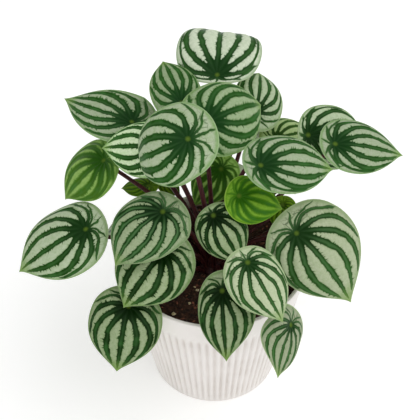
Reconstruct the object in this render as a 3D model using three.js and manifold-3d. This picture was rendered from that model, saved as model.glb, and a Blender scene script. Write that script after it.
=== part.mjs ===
// A watermelon peperomia in a fluted white pot: a rosette of round, shield-like leaves on red stalks.
// Millimetres, +Z up. The origin is the centre of the pot's underside, which stands on z = 0,
// and the plant is seen from -Y, its front.
import * as THREE from 'three';
import { mergeVertices } from 'three/addons/utils/BufferGeometryUtils.js';
import Module from 'manifold-3d';

const wasm = await Module();
wasm.setup();

// The pot: a 140 mm plastic pot with a plain band under its rim and flutes down to its foot.
const pot = {
  height: 117, rimRadius: 70, bodyTopRadius: 67.2, footRadius: 50,
  bandDepth: 20, lip: 1.6, flutes: 70, fluteDepth: 0.8, fadeLength: 4,
  innerTopRadius: 67.2, innerFootRadius: 47.4, floor: 4.6,
  recess: 1.2, recessOuterRadius: 44, recessInnerRadius: 14, recessSides: 48,
  drains: 4, drainRadius: 3.5, drainReach: 30, drainSides: 16,
};
// The soil: lumpy, a little below the rim, with one plain hole for the crown.
const soil = {
  level: 108, swell: 2.2, lump: 0.9, holeRadius: 13.8, holeFloor: 87,
  wallGap: 0.4, floorGap: 0.3, sides: 40, ringRadii: [58, 49, 40, 31, 22],
};
// The crown: the short thick stem that every stalk springs from.
const crown = { radius: 13.4, foot: 87.4, shoulder: 106, top: 115, sides: 20 };
// The stalks: thin round tubes, thicker at the crown, ending just under their blades. The higher a blade
// stands, the nearer the middle of the crown its stalk springs.
const stalk = {
  startZ: 106, baseRadius: 2, endRadius: 1.35, gap: 0.35, sides: 6, steps: 8,
  outerRoot: 9.5, innerRoot: 3, lowBlade: 125, highBlade: 245,
};
// The blade: its outline in units of its own length, from the point where the stalk meets it. The pulls are
// the handles of the outline's two curves: near the tip, before and behind the widest place, and at the base.
const blade = {
  tip: 0.74, base: 0.26, widestAt: 0.16, halfWidth: 0.42, thickness: 0.8,
  tipPull: [0.62, 0.07], frontPull: 0.5, backPull: -0.1, basePull: 0.26,
  veins: 5, dimple: 0.04, dimpleWidth: 0.13, wave: 0.012,
};
// How a blade lies unless its own row says otherwise: the bend of its tip, sides and base in degrees, how
// deep its midrib lies in a fold, how far its outline is moved along the midrib (seat) and, except at the
// tip, across it (slip), and how far the midrib bows sideways (sway), the last three in blade lengths.
const usual = {
  wide: 0.95, droop: 20, cup: 35, curl: 25, fold: 0, seat: 0, slip: 0, sway: 0, reach: 24, out: 0.12,
  ripple: 0,
};

// One row for each leaf. at: where the stalk meets the blade. face and lift: the compass angle and the
// height angle of the way the blade faces. turn: the tip's angle from straight downhill, counter-clockwise.
// long: the blade's length. ripple: where round its margin the waves lie, in degrees. Stalks: reach is how
// far one runs square to its blade, via replaces that point, root is the side of the crown it starts from,
// and out is how far it leans out as it rises.
const leafRows = [
  { at: [2, 86, 222], face: -98, lift: 63, turn: -176, long: 80, ripple: 0, wide: 1, droop: 78, cup: 27,
    curl: -60, fold: 0.12, seat: 0.13, out: 0.5, root: 90 },
  { at: [-24, 52, 222], face: -80, lift: 71, turn: -170, long: 59, ripple: 255, wide: 0.78, slip: 0.02 },
  { at: [-61, 55, 202], face: -32, lift: 75, turn: -166, long: 73, ripple: 295, wide: 0.89, droop: 12,
    cup: -5, curl: 10, slip: 0.02, sway: 0.06 },
  { at: [-5, 32, 220], face: -75, lift: 59, turn: 105, long: 69, ripple: 320, wide: 1.03, droop: 50 },
  { at: [-18, -12, 241], face: -90, lift: 56, turn: -77, long: 69, ripple: 295, wide: 1.04, droop: 105,
    cup: 40, seat: -0.03, slip: -0.03, sway: 0.05, reach: 45, root: 150 },
  { at: [-38, 14, 211], face: -106, lift: 63, turn: -82, long: 59, ripple: 170, wide: 0.92, droop: 25 },
  { at: [-81, 30, 186], face: -151, lift: 59, turn: -3, long: 52, ripple: 170, wide: 1.25, droop: 25,
    cup: 15, seat: 0.05, slip: -0.03 },
  { at: [31, 71, 199], face: -59, lift: 59, turn: 143, long: 57, ripple: 280, wide: 0.86, droop: 40,
    slip: -0.02 },
  { at: [47, 72, 172], face: -74, lift: 61, turn: 93, long: 45, ripple: 115, droop: 40 },
  { at: [31, -11, 217], face: -70, lift: 71, turn: 77, long: 66, ripple: 280, wide: 0.9, seat: 0.08,
    slip: 0.04, via: [27, 34, 198], root: 60 },
  { at: [68, 41, 201], face: -75, lift: 56, turn: 79, long: 59, ripple: 295, wide: 1.05, droop: 30,
    cup: 30, seat: 0.13 },
  { at: [85, 20, 210], face: -70, lift: 71, turn: 67, long: 61, ripple: 190, wide: 0.92, droop: 15,
    cup: 30, seat: 0.08, slip: 0.03 },
  { at: [58, -21, 162], face: -87, lift: 49, turn: 36, long: 78, ripple: 85, wide: 1.06, cup: 25,
    curl: 20, seat: 0.04, slip: 0.05, sway: 0.03 },
  { at: [22, -59, 172], face: -81, lift: 66, turn: 21, long: 57, ripple: 125, wide: 0.88, droop: 15,
    seat: 0.07, slip: -0.02, out: 0.3, via: [20, -56, 142] },
  { at: [52, -80, 132], face: -26, lift: 31, turn: -66, long: 51, ripple: 40, wide: 0.92, cup: 30,
    slip: -0.03, sway: -0.1 },
  { at: [5, -64, 149], face: -112, lift: 55, turn: 21, long: 62, ripple: 170, wide: 0.8, droop: 15,
    seat: 0.03, slip: 0.055 },
  { at: [-1, -9, 168], face: -87, lift: 46, turn: 29, long: 47, ripple: 190, wide: 0.98, droop: 15,
    seat: 0.1 },
  { at: [-36, -23, 185], face: -98, lift: 61, turn: -36, long: 64, ripple: 285, wide: 0.95, seat: 0.05,
    slip: 0.05, sway: -0.06 },
  { at: [-36, -34, 157], face: -90, lift: 61, turn: -36, long: 66, ripple: 285, wide: 1.06, droop: 25 },
  { at: [-61, -58, 126], face: -97, lift: 56, turn: -5, long: 61, ripple: 295, wide: 1.12, seat: 0.03,
    slip: -0.02, via: [-50, -43, 125] },
  { at: [-92, -16, 161], face: -128, lift: 69, turn: -28, long: 73, ripple: 260, wide: 1.05, droop: 15,
    seat: 0.05, slip: -0.03 },
  { at: [5, 40, 169], face: -97, lift: 46, turn: -32, long: 46, ripple: 170, wide: 0.92, reach: 14,
    root: 40 },
  { at: [17, -8, 186], face: -75, lift: 56, turn: 64, long: 42, ripple: 140, wide: 1.05, droop: 25,
    seat: 0.03, via: [16, 12, 163], root: 20 },
  { at: [-50, 38, 154], face: 161, lift: 83, turn: 10, long: 30, ripple: 205, wide: 0.92, droop: 25 },
  { at: [-39, 54, 146], face: -45, lift: 57, turn: 11, long: 24, ripple: 115, wide: 0.92, droop: 25 },
  { at: [51, 19, 152], face: -107, lift: 66, turn: 9, long: 29, ripple: 345, wide: 0.92, droop: 25 },
  { at: [80, 32, 128], face: 20, lift: 45, turn: 0, long: 52, ripple: 60, via: [62, 24, 128] },
  { at: [-60, 32, 132], face: 160, lift: 45, turn: 0, long: 55, ripple: 150, via: [-46, 24, 126] },
  { at: [4, 84, 134], face: 95, lift: 35, turn: 0, long: 57, ripple: 240 },
  { at: [-35, 84, 151], face: 105, lift: 30, turn: 18, long: 62, ripple: 330 },
  { at: [17, 92, 170], face: 79, lift: 29, turn: -6, long: 61, ripple: 100 },
  { at: [51, 75, 140], face: 59, lift: 28, turn: -15, long: 53, ripple: 200 },
  { at: [-76, 86, 185], face: 134, lift: 37, turn: -27, long: 53, ripple: 300 },
  { at: [100, 70, 168], face: 36, lift: 35, turn: 46, long: 55, ripple: 20 },
  { at: [-20, 109, 186], face: 98, lift: 24, turn: 4, long: 55, ripple: 120 },
];

// Vein numbers of a blade's columns on one side of the midrib, and its rows from stalk to margin.
const columnVeins = [0, 0.5, 1, 1.7, 2.3, 3, 3.7, 4.3, blade.veins];
const rowFractions = [0.35, 0.7, 1];

function radians(degrees) {
  return THREE.MathUtils.degToRad(degrees);
}

function clamp(value, low, high) {
  return Math.min(Math.max(value, low), high);
}

// Half the blade's outline, from its tip round the widest place to the middle of its base.
function makeOutline() {
  const point = (x, y) => new THREE.Vector2(x, y);
  const widest = point(blade.widestAt, blade.halfWidth);
  const front = [point(blade.tip, 0), point(...blade.tipPull), point(blade.frontPull, blade.halfWidth),
    widest];
  const back = [widest, point(blade.backPull, blade.halfWidth), point(-blade.base, blade.basePull),
    point(-blade.base, 0)];
  const outline = new THREE.CurvePath();
  outline.add(new THREE.CubicBezierCurve(...front));
  outline.add(new THREE.CubicBezierCurve(...back));
  return outline;
}

const outline = makeOutline();

// A point of the flat blade: vein number from -5 to 5 with 0 on the midrib, and the fraction of the
// way from the stalk to the margin. Side veins leave the stalk spread out and bow over to the tip.
function flatPoint(vein, fraction, leaf) {
  const share = Math.abs(vein) / blade.veins;
  const hand = vein < 0 ? -1 : 1;
  const along = share ** 1.5;
  const length = blade.tip + leaf.seat;
  const edge = outline.getPoint(along);
  edge.x += leaf.seat;
  edge.y += hand * leaf.slip * (1 - clamp(edge.x / length, 0, 1) ** 2);
  const [before, after] = [Math.max(along - 0.01, 0), Math.min(along + 0.01, 1)];
  const tangent = outline.getPoint(before).sub(outline.getPoint(after)).normalize();
  const reach = edge.length();
  const bow = 0.75 * Math.sin(Math.PI * Math.sqrt(share));
  const arrive = edge.clone().normalize().multiplyScalar(1 - bow).addScaledVector(tangent, bow).normalize();
  const leave = new THREE.Vector2(Math.cos(Math.PI * share), Math.sin(Math.PI * share));
  const curve = new THREE.CubicBezierCurve(
    new THREE.Vector2(0, 0),
    leave.multiplyScalar(reach * 0.45),
    edge.clone().addScaledVector(arrive, -reach * 0.45),
    edge,
  );
  const place = curve.getPoint(fraction);
  const ahead = clamp(place.x / length, 0, 1);
  return { x: place.x, y: hand * place.y + leaf.sway * 4 * ahead * (1 - ahead) };
}

// How far a strip that bends more and more has gone along and dropped, and its angle there.
function bend(distance, total, full, power) {
  const steps = 12;
  let along = 0;
  let drop = 0;
  for (let i = 0; i < steps; i += 1) {
    const angle = total * ((distance * (i + 0.5)) / steps / full) ** power;
    along += (Math.cos(angle) * distance) / steps;
    drop += (Math.sin(angle) * distance) / steps;
  }
  return { along, drop, angle: total * (distance / full) ** power };
}

// The blade's own directions: towards its tip, to its side and the way it faces.
function leafFrame(leaf) {
  const [face, lift, turn] = [leaf.face, leaf.lift, leaf.turn].map(radians);
  const facing = new THREE.Vector3(
    Math.cos(lift) * Math.cos(face), Math.cos(lift) * Math.sin(face), Math.sin(lift));
  const downhill = new THREE.Vector3(
    Math.sin(lift) * Math.cos(face), Math.sin(lift) * Math.sin(face), -Math.cos(lift));
  const across = new THREE.Vector3().crossVectors(facing, downhill);
  const tip = downhill.multiplyScalar(Math.cos(turn)).addScaledVector(across, Math.sin(turn));
  const side = new THREE.Vector3().crossVectors(facing, tip);
  return { tip, side, facing };
}

// A point of the real blade, bent, dimpled and placed, at a depth below its upper face.
function leafPoint(leaf, frame, vein, fraction, depth) {
  const flat = flatPoint(vein, fraction, leaf);
  const angle = Math.atan2(flat.y, flat.x);
  const distance = Math.hypot(flat.x, flat.y);
  const sideways = flat.y * leaf.wide;
  const front = bend(Math.max(flat.x, 0), radians(leaf.droop), blade.tip, 1.5);
  const back = bend(Math.max(-flat.x, 0), radians(leaf.curl), blade.base, 1.2);
  const tilt = front.angle - back.angle;
  const roll = bend(Math.abs(sideways), radians(leaf.cup), blade.halfWidth, 1.3);
  const hand = Math.sign(sideways);
  const dimple = blade.dimple * (1 - Math.exp(-((distance / blade.dimpleWidth) ** 2)));
  const fold = leaf.fold * Math.abs(sideways) * clamp(flat.x / 0.5, 0, 1);
  const wave = blade.wave * Math.sin(3 * angle + radians(leaf.ripple)) * (distance / 0.45) ** 2.5;
  const below = depth / leaf.long;
  const height = dimple + fold + wave - roll.drop - Math.cos(roll.angle) * below;
  const ahead = front.along - back.along + Math.sin(tilt) * height;
  const up = -(front.drop + back.drop) + Math.cos(tilt) * height;
  const out = hand * (roll.along - Math.sin(roll.angle) * below);
  return new THREE.Vector3(...leaf.at)
    .addScaledVector(frame.tip, leaf.long * ahead)
    .addScaledVector(frame.side, leaf.long * out)
    .addScaledVector(frame.facing, leaf.long * up);
}

// A closed body from its points and its triangles.
function bodyGeometry(points, triangles) {
  const geometry = new THREE.BufferGeometry();
  geometry.setAttribute('position', new THREE.Float32BufferAttribute(points.flatMap((p) => p.toArray()), 3));
  geometry.setIndex(triangles);
  return geometry;
}

// A blade: a fan and rows of quads round the stalk's point, the same on both faces, and a rim between.
function leafGeometry(leaf) {
  const frame = leafFrame(leaf);
  const left = columnVeins.slice(1, -1).reverse().map((vein) => -vein);
  const veins = [...columnVeins, ...left];
  const points = [];
  for (const depth of [0, blade.thickness]) {
    points.push(leafPoint(leaf, frame, 0, 0, depth));
    for (const fraction of rowFractions) {
      for (const vein of veins) {
        points.push(leafPoint(leaf, frame, vein, fraction, depth));
      }
    }
  }
  const count = veins.length;
  const rows = rowFractions.length;
  const faceSize = 1 + rows * count;
  const vertex = (face, row, column) => face * faceSize + 1 + row * count + (column % count);
  const triangles = [];
  const add = (face, a, b, c) => triangles.push(...(face === 0 ? [a, b, c] : [a, c, b]));
  for (const face of [0, 1]) {
    for (let j = 0; j < count; j += 1) {
      add(face, face * faceSize, vertex(face, 0, j), vertex(face, 0, j + 1));
      for (let i = 0; i < rows - 1; i += 1) {
        const [a, b] = [vertex(face, i, j), vertex(face, i + 1, j)];
        const [c, d] = [vertex(face, i + 1, j + 1), vertex(face, i, j + 1)];
        add(face, a, b, c);
        add(face, a, c, d);
      }
    }
  }
  for (let j = 0; j < count; j += 1) {
    const [a, b] = [vertex(0, rows - 1, j), vertex(0, rows - 1, j + 1)];
    const [c, d] = [vertex(1, rows - 1, j), vertex(1, rows - 1, j + 1)];
    triangles.push(a, c, d, a, d, b);
  }
  return bodyGeometry(points, triangles);
}

// A closed body through rings of points, the first and last closed by a fan round their centre.
function loftGeometry(rings) {
  const count = rings[0].length;
  const points = rings.flat();
  const triangles = [];
  for (let i = 0; i < rings.length - 1; i += 1) {
    for (let j = 0; j < count; j += 1) {
      const next = (j + 1) % count;
      const [a, b, c, d] = [i * count + j, i * count + next, (i + 1) * count + next, (i + 1) * count + j];
      triangles.push(a, b, c, a, c, d);
    }
  }
  for (const end of [0, rings.length - 1]) {
    const centre = new THREE.Vector3();
    rings[end].forEach((p) => centre.addScaledVector(p, 1 / count));
    points.push(centre);
    for (let j = 0; j < count; j += 1) {
      const [a, b] = [end * count + j, end * count + ((j + 1) % count)];
      triangles.push(...(end === 0 ? [points.length - 1, b, a] : [points.length - 1, a, b]));
    }
  }
  return bodyGeometry(points, triangles);
}

// A level ring round the Z axis, whose radius and height may follow the angle.
function levelRing(count, radius, z) {
  const ring = [];
  for (let i = 0; i < count; i += 1) {
    const angle = (2 * Math.PI * i) / count;
    const r = typeof radius === 'function' ? radius(angle) : radius;
    const height = typeof z === 'function' ? z(angle) : z;
    ring.push(new THREE.Vector3(r * Math.cos(angle), r * Math.sin(angle), height));
  }
  return ring;
}

// The curve of a leaf's stalk, from the crown up and out, and then up to the blade's underside.
function stalkCurve(leaf, frame) {
  const [x, y, z] = leaf.at;
  const spread = Math.atan2(y, x);
  const root = leaf.root === undefined ? spread : radians(leaf.root);
  const rank = clamp((z - stalk.lowBlade) / (stalk.highBlade - stalk.lowBlade), 0, 1);
  const startRadius = THREE.MathUtils.lerp(stalk.outerRoot, stalk.innerRoot, rank);
  const start = new THREE.Vector3(startRadius * Math.cos(root), startRadius * Math.sin(root), stalk.startZ);
  const lean = leaf.out * Math.hypot(x, y);
  const rise = 0.5 * (z - stalk.startZ) + 12;
  const rising = start.clone().add(new THREE.Vector3(lean * Math.cos(spread), lean * Math.sin(spread), rise));
  const point = new THREE.Vector3(x, y, z);
  const square = point.clone().addScaledVector(frame.facing, -leaf.reach);
  const arriving = leaf.via ? new THREE.Vector3(...leaf.via) : square;
  const end = point.addScaledVector(frame.facing, -(blade.thickness + stalk.gap));
  return new THREE.CubicBezierCurve3(start, rising, arriving, end);
}

// A stalk: a tapered tube whose last ring lies in the plane of the blade.
function stalkGeometry(leaf) {
  const frame = leafFrame(leaf);
  const curve = stalkCurve(leaf, frame);
  const { tangents, normals, binormals } = curve.computeFrenetFrames(stalk.steps);
  const rings = tangents.map((tangent, i) => {
    const share = i / stalk.steps;
    const radius = THREE.MathUtils.lerp(stalk.baseRadius, stalk.endRadius, share);
    const axes = [normals[i].clone(), binormals[i].clone()];
    if (i === stalk.steps) {
      axes.forEach((axis) => axis.projectOnPlane(frame.facing).normalize());
    }
    const centre = curve.getPointAt(share);
    return Array.from({ length: stalk.sides }, (_, k) => {
      const angle = (2 * Math.PI * k) / stalk.sides;
      return centre.clone()
        .addScaledVector(axes[0], radius * Math.cos(angle))
        .addScaledVector(axes[1], radius * Math.sin(angle));
    });
  });
  return loftGeometry(rings);
}

// A solid for the boolean joins and cuts, and the geometry that comes back from one.
function toSolid(geometry) {
  const bare = geometry.clone();
  bare.deleteAttribute('normal');
  bare.deleteAttribute('uv');
  const merged = mergeVertices(bare, 1e-4);
  return new wasm.Manifold(new wasm.Mesh({
    numProp: 3,
    vertProperties: new Float32Array(merged.attributes.position.array),
    triVerts: new Uint32Array(merged.index.array),
  }));
}

function fromSolid(solid) {
  const mesh = solid.getMesh();
  const geometry = new THREE.BufferGeometry();
  geometry.setAttribute('position', new THREE.BufferAttribute(new Float32Array(mesh.vertProperties), 3));
  geometry.setIndex(new THREE.BufferAttribute(new Uint32Array(mesh.triVerts), 1));
  return geometry;
}

function lathe(profile, segments) {
  const points = profile.map(([radius, z]) => new THREE.Vector2(radius, z));
  return new THREE.LatheGeometry(points, segments).rotateX(Math.PI / 2);
}

// The crown and every stalk, joined as one plant body.
function stemsGeometry(leaves) {
  const profile = [
    [0, crown.foot], [crown.radius, crown.foot], [crown.radius, crown.shoulder],
    [0.8 * crown.radius, crown.top - 4], [0.4 * crown.radius, crown.top - 1], [0, crown.top],
  ];
  const solids = leaves.map((leaf) => toSolid(stalkGeometry(leaf)));
  return fromSolid(solids.reduce((plant, solid) => plant.add(solid), toSolid(lathe(profile, crown.sides))));
}

function innerRadius(z) {
  const share = (z - pot.floor) / (pot.height - pot.floor);
  return THREE.MathUtils.lerp(pot.innerFootRadius, pot.innerTopRadius, share);
}

// The fluted shell, hollowed out, with a foot, a shallow recess round its middle and drain holes.
function potGeometry() {
  const around = 2 * pot.flutes;
  const bandZ = pot.height - pot.bandDepth;
  const bodyRadius = (z) => THREE.MathUtils.lerp(pot.footRadius, pot.bodyTopRadius, z / bandZ);
  const groove = (angle) => pot.fluteDepth * (0.5 - 0.5 * Math.cos(pot.flutes * angle));
  const fluted = (z) => (angle) => bodyRadius(z) - groove(angle);
  const outer = toSolid(loftGeometry([
    levelRing(around, pot.footRadius - 1.2, 0),
    levelRing(around, fluted(1.2), 1.2),
    levelRing(around, fluted(bandZ - pot.fadeLength), bandZ - pot.fadeLength),
    levelRing(around, bodyRadius(bandZ), bandZ),
    levelRing(around, pot.rimRadius - 0.8, pot.height - pot.lip - 0.6),
    levelRing(around, pot.rimRadius, pot.height - pot.lip),
    levelRing(around, pot.rimRadius, pot.height - 0.4),
    levelRing(around, pot.rimRadius - 0.5, pot.height),
  ]));
  const above = 2;
  const hollow = toSolid(loftGeometry([
    levelRing(pot.flutes, innerRadius(pot.floor), pot.floor),
    levelRing(pot.flutes, innerRadius(pot.height + above), pot.height + above),
  ]));
  const recess = toSolid(lathe([
    [pot.recessInnerRadius, -1], [pot.recessOuterRadius, -1], [pot.recessOuterRadius, pot.recess],
    [pot.recessInnerRadius, pot.recess], [pot.recessInnerRadius, -1],
  ], pot.recessSides));
  let shell = outer.subtract(hollow).subtract(recess);
  for (let i = 0; i < pot.drains; i += 1) {
    const angle = (2 * Math.PI * (i + 0.5)) / pot.drains;
    const hole = new THREE.CylinderGeometry(pot.drainRadius, pot.drainRadius, 4 * pot.floor, pot.drainSides);
    hole.rotateX(Math.PI / 2);
    hole.translate(pot.drainReach * Math.cos(angle), pot.drainReach * Math.sin(angle), 0);
    shell = shell.subtract(toSolid(hole));
  }
  return fromSolid(shell);
}

// The height of the soil: higher towards the crown, with small lumps.
function soilHeight(x, y) {
  const reach = Math.hypot(x, y) / pot.innerTopRadius;
  const lumps = Math.sin(0.41 * x + 0.7) * Math.cos(0.37 * y - 0.4) + 0.6 * Math.sin(0.23 * x - 0.52 * y);
  return soil.level + soil.swell * (1 - reach ** 2) + soil.lump * lumps * clamp(4 * (1 - reach), 0, 1);
}

// The soil fills the pot to just below its rim, clear of its wall and of the crown.
function soilGeometry() {
  const floorZ = pot.floor + soil.floorGap;
  const wallAt = (z) => innerRadius(z) - soil.wallGap;
  const onTop = (radius) => levelRing(soil.sides, radius, (angle) => soilHeight(radius * Math.cos(angle),
    radius * Math.sin(angle)));
  return loftGeometry([
    levelRing(soil.sides, wallAt(floorZ), floorZ),
    levelRing(soil.sides, wallAt(soil.level), soil.level),
    ...soil.ringRadii.map(onTop),
    levelRing(soil.sides, soil.holeRadius, soil.level),
    levelRing(soil.sides, soil.holeRadius, soil.holeFloor),
  ]);
}

function material(color, roughness) {
  return new THREE.MeshStandardMaterial({ color, roughness, metalness: 0 });
}

const whitePlastic = material('#ecebe8', 0.45);
const darkSoil = material('#2e211b', 0.95);
const redStalk = material('#54222a', 0.5);
const silverLeaf = material('#8fae86', 0.45);
const youngLeaf = material('#5c8a2a', 0.45);

function part(name, geometry, finish) {
  const mesh = new THREE.Mesh(geometry, finish);
  mesh.name = name;
  return mesh;
}

const leaves = leafRows.map((row) => ({ ...usual, ...row }));
const youngLeaves = [7, 22, 23, 24, 25, 26];
const plant = new THREE.Group();
plant.add(part('pot', potGeometry(), whitePlastic));
plant.add(part('soil', soilGeometry(), darkSoil));
plant.add(part('stems', stemsGeometry(leaves), redStalk));
leaves.forEach((leaf, i) => {
  const number = i + 1;
  const finish = youngLeaves.includes(number) ? youngLeaf : silverLeaf;
  plant.add(part(`leaf_${String(number).padStart(2, '0')}`, leafGeometry(leaf), finish));
});

export default plant;
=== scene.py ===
# Watermelon peperomia in a fluted white pot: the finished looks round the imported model.
import math

import bmesh
import bpy
import numpy as np
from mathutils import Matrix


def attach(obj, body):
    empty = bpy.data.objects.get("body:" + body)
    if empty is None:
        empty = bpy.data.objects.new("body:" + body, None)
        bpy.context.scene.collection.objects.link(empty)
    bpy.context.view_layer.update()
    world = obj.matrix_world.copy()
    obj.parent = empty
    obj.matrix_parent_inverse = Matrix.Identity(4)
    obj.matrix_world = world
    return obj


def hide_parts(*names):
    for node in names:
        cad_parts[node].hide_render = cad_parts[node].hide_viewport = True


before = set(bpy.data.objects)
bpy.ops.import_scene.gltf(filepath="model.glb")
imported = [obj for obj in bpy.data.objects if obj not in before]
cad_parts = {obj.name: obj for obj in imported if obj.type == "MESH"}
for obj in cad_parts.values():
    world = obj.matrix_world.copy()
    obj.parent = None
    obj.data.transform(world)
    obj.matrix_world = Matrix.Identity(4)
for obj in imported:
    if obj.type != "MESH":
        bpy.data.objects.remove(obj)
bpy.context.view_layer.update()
print("frame loaded:", len(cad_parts), "nodes")

millimetre = 0.001


# Small helpers

def toLinear(hexColour):
    # an sRGB hex colour as the linear colour that a shader wants
    channels = [int(hexColour[i:i + 2], 16) / 255 for i in (1, 3, 5)]
    return [c / 12.92 if c <= 0.04045 else ((c + 0.055) / 1.055) ** 2.4 for c in channels] + [1.0]


def addNode(tree, kind, inputs=(), **settings):
    # adds a node with its settings, gives its inputs their values or links, listed in the sockets' order or
    # under their names, and returns its first output in use
    node = tree.nodes.new(kind)
    for name, value in settings.items():
        setattr(node, name, value)
    for key, value in inputs.items() if isinstance(inputs, dict) else enumerate(inputs):
        if isinstance(key, int):
            socket = node.inputs[key]
        else:
            socket = next(s for s in node.inputs if s.enabled and s.name == key)
        if isinstance(value, bpy.types.NodeSocket):
            tree.links.new(value, socket)
        else:
            socket.default_value = value
    return next((s for s in node.outputs if s.enabled), None)


def newMaterial(name, roughness, ior=1.45):
    material = bpy.data.materials.new(name)
    material.use_nodes = True
    tree = material.node_tree
    shader = tree.nodes["Principled BSDF"]
    shader.inputs["Roughness"].default_value = roughness
    shader.inputs["IOR"].default_value = ior
    return material, tree, shader


def finishMaterial(material, colour, relief, strength, depth):
    # gives the shader its colour, and a bump of that strength and depth in metres from the relief
    tree = material.node_tree
    shader = tree.nodes["Principled BSDF"]
    bump = addNode(tree, "ShaderNodeBump", {"Strength": strength, "Distance": depth, "Height": relief})
    tree.links.new(colour, shader.inputs["Base Color"])
    tree.links.new(bump, shader.inputs["Normal"])
    return material


def startTree(name, sockets):
    # a Geometry Nodes tree that takes a geometry and the named inputs, and those inputs' sockets
    tree = bpy.data.node_groups.new(name, "GeometryNodeTree")
    for socket, kind in {"Geometry": "Geometry", **sockets}.items():
        tree.interface.new_socket(socket, in_out="INPUT", socket_type=f"NodeSocket{kind}")
    tree.interface.new_socket("Geometry", in_out="OUTPUT", socket_type="NodeSocketGeometry")
    return tree, addNode(tree, "NodeGroupInput").node.outputs


def endTree(tree, geometry, material):
    # makes the instances real and gives them their material
    plain = addNode(tree, "GeometryNodeRealizeInstances", {"Geometry": geometry})
    dressed = addNode(tree, "GeometryNodeSetMaterial", {"Geometry": plain, "Material": material})
    addNode(tree, "NodeGroupOutput", {"Geometry": dressed})
    return tree


def addTree(piece, tree, values):
    # puts a tree on a piece, with the named inputs set by their sockets' identifiers
    modifier = piece.modifiers.new(tree.name, "NODES")
    modifier.node_group = tree
    for item in tree.interface.items_tree:
        if item.item_type == "SOCKET" and item.in_out == "INPUT" and item.name in values:
            modifier[item.identifier] = values[item.name]


def newObject(name, data):
    piece = bpy.data.objects.new(name, data)
    bpy.context.scene.collection.objects.link(piece)
    return piece


def meshFrom(name, points, faces):
    mesh = bpy.data.meshes.new(name)
    mesh.from_pydata([tuple(p) for p in points], [], faces)
    mesh.validate()
    return mesh


def meshFromShape(name, shape):
    mesh = bpy.data.meshes.new(name)
    shape.to_mesh(mesh)
    shape.free()
    return mesh


def bakeModifiers(piece):
    # turns what the modifiers make into a plain mesh and drops them
    bpy.context.view_layer.update()
    graph = bpy.context.evaluated_depsgraph_get()
    mesh = bpy.data.meshes.new_from_object(piece.evaluated_get(graph), depsgraph=graph)
    if piece.type == "MESH":
        piece.modifiers.clear()
        piece.data = mesh
        return piece
    finished = newObject(piece.name, mesh)
    bpy.data.objects.remove(piece)
    finished.name = mesh.name = finished.name.split(".")[0]
    return finished


def smooth(mesh):
    mesh.polygons.foreach_set("use_smooth", [True] * len(mesh.polygons))


def finishPiece(piece, slot, *nodes):
    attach(piece, "root")
    if nodes:
        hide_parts(*nodes)
    return piece


# The leaves

blade = {
    # the outline, in blade lengths from the stalk's point, and the pulls of its two curves
    "tip": 0.74, "base": 0.26, "widestAt": 0.16, "halfWidth": 0.42,
    "tipPull": (0.62, 0.07), "frontPull": 0.5, "backPull": -0.1, "basePull": 0.26, "outlineSteps": 60,
    # the side veins: how strongly they bow to the tip, from which share of them on, and their curves' pulls
    "veins": 5, "bow": 0.9, "bowFrom": 0.4, "leavePull": 0.5, "arrivePull": 0.55,
    # the relief: a dimple over the stalk, a fold that deepens to the front, waves that grow to the margin
    "dimple": 0.04, "dimpleWidth": 0.13, "foldLength": 0.5, "wave": 0.012, "waveReach": 0.45,
    # how sharply each bend gathers towards its end
    "droopPower": 1.5, "curlPower": 1.2, "cupPower": 1.3,
    # how far the silver stands above the veins, and the last vein numbers over which that fades
    "quilt": 0.013, "quiltEnd": 4.8, "quiltFade": 1.3,
    "thickness": 0.8, "marginThickness": 0.5, "marginRound": 0.4,  # mm, mm and a share of the last
    "columnsPerVein": 10, "rows": 36,
}
# How a leaf lies unless its own row says otherwise: its bends in degrees, its fold, how far its outline and
# its midrib are moved in blade lengths, its stalk's way in mm, and where the waves round its margin lie.
usual = {"wide": 0.95, "droop": 20, "cup": 35, "curl": 25, "fold": 0, "seat": 0, "slip": 0, "sway": 0,
         "reach": 24, "out": 0.12, "via": None, "root": None, "ripple": 0, "tone": "silver", "light": 1}
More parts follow.
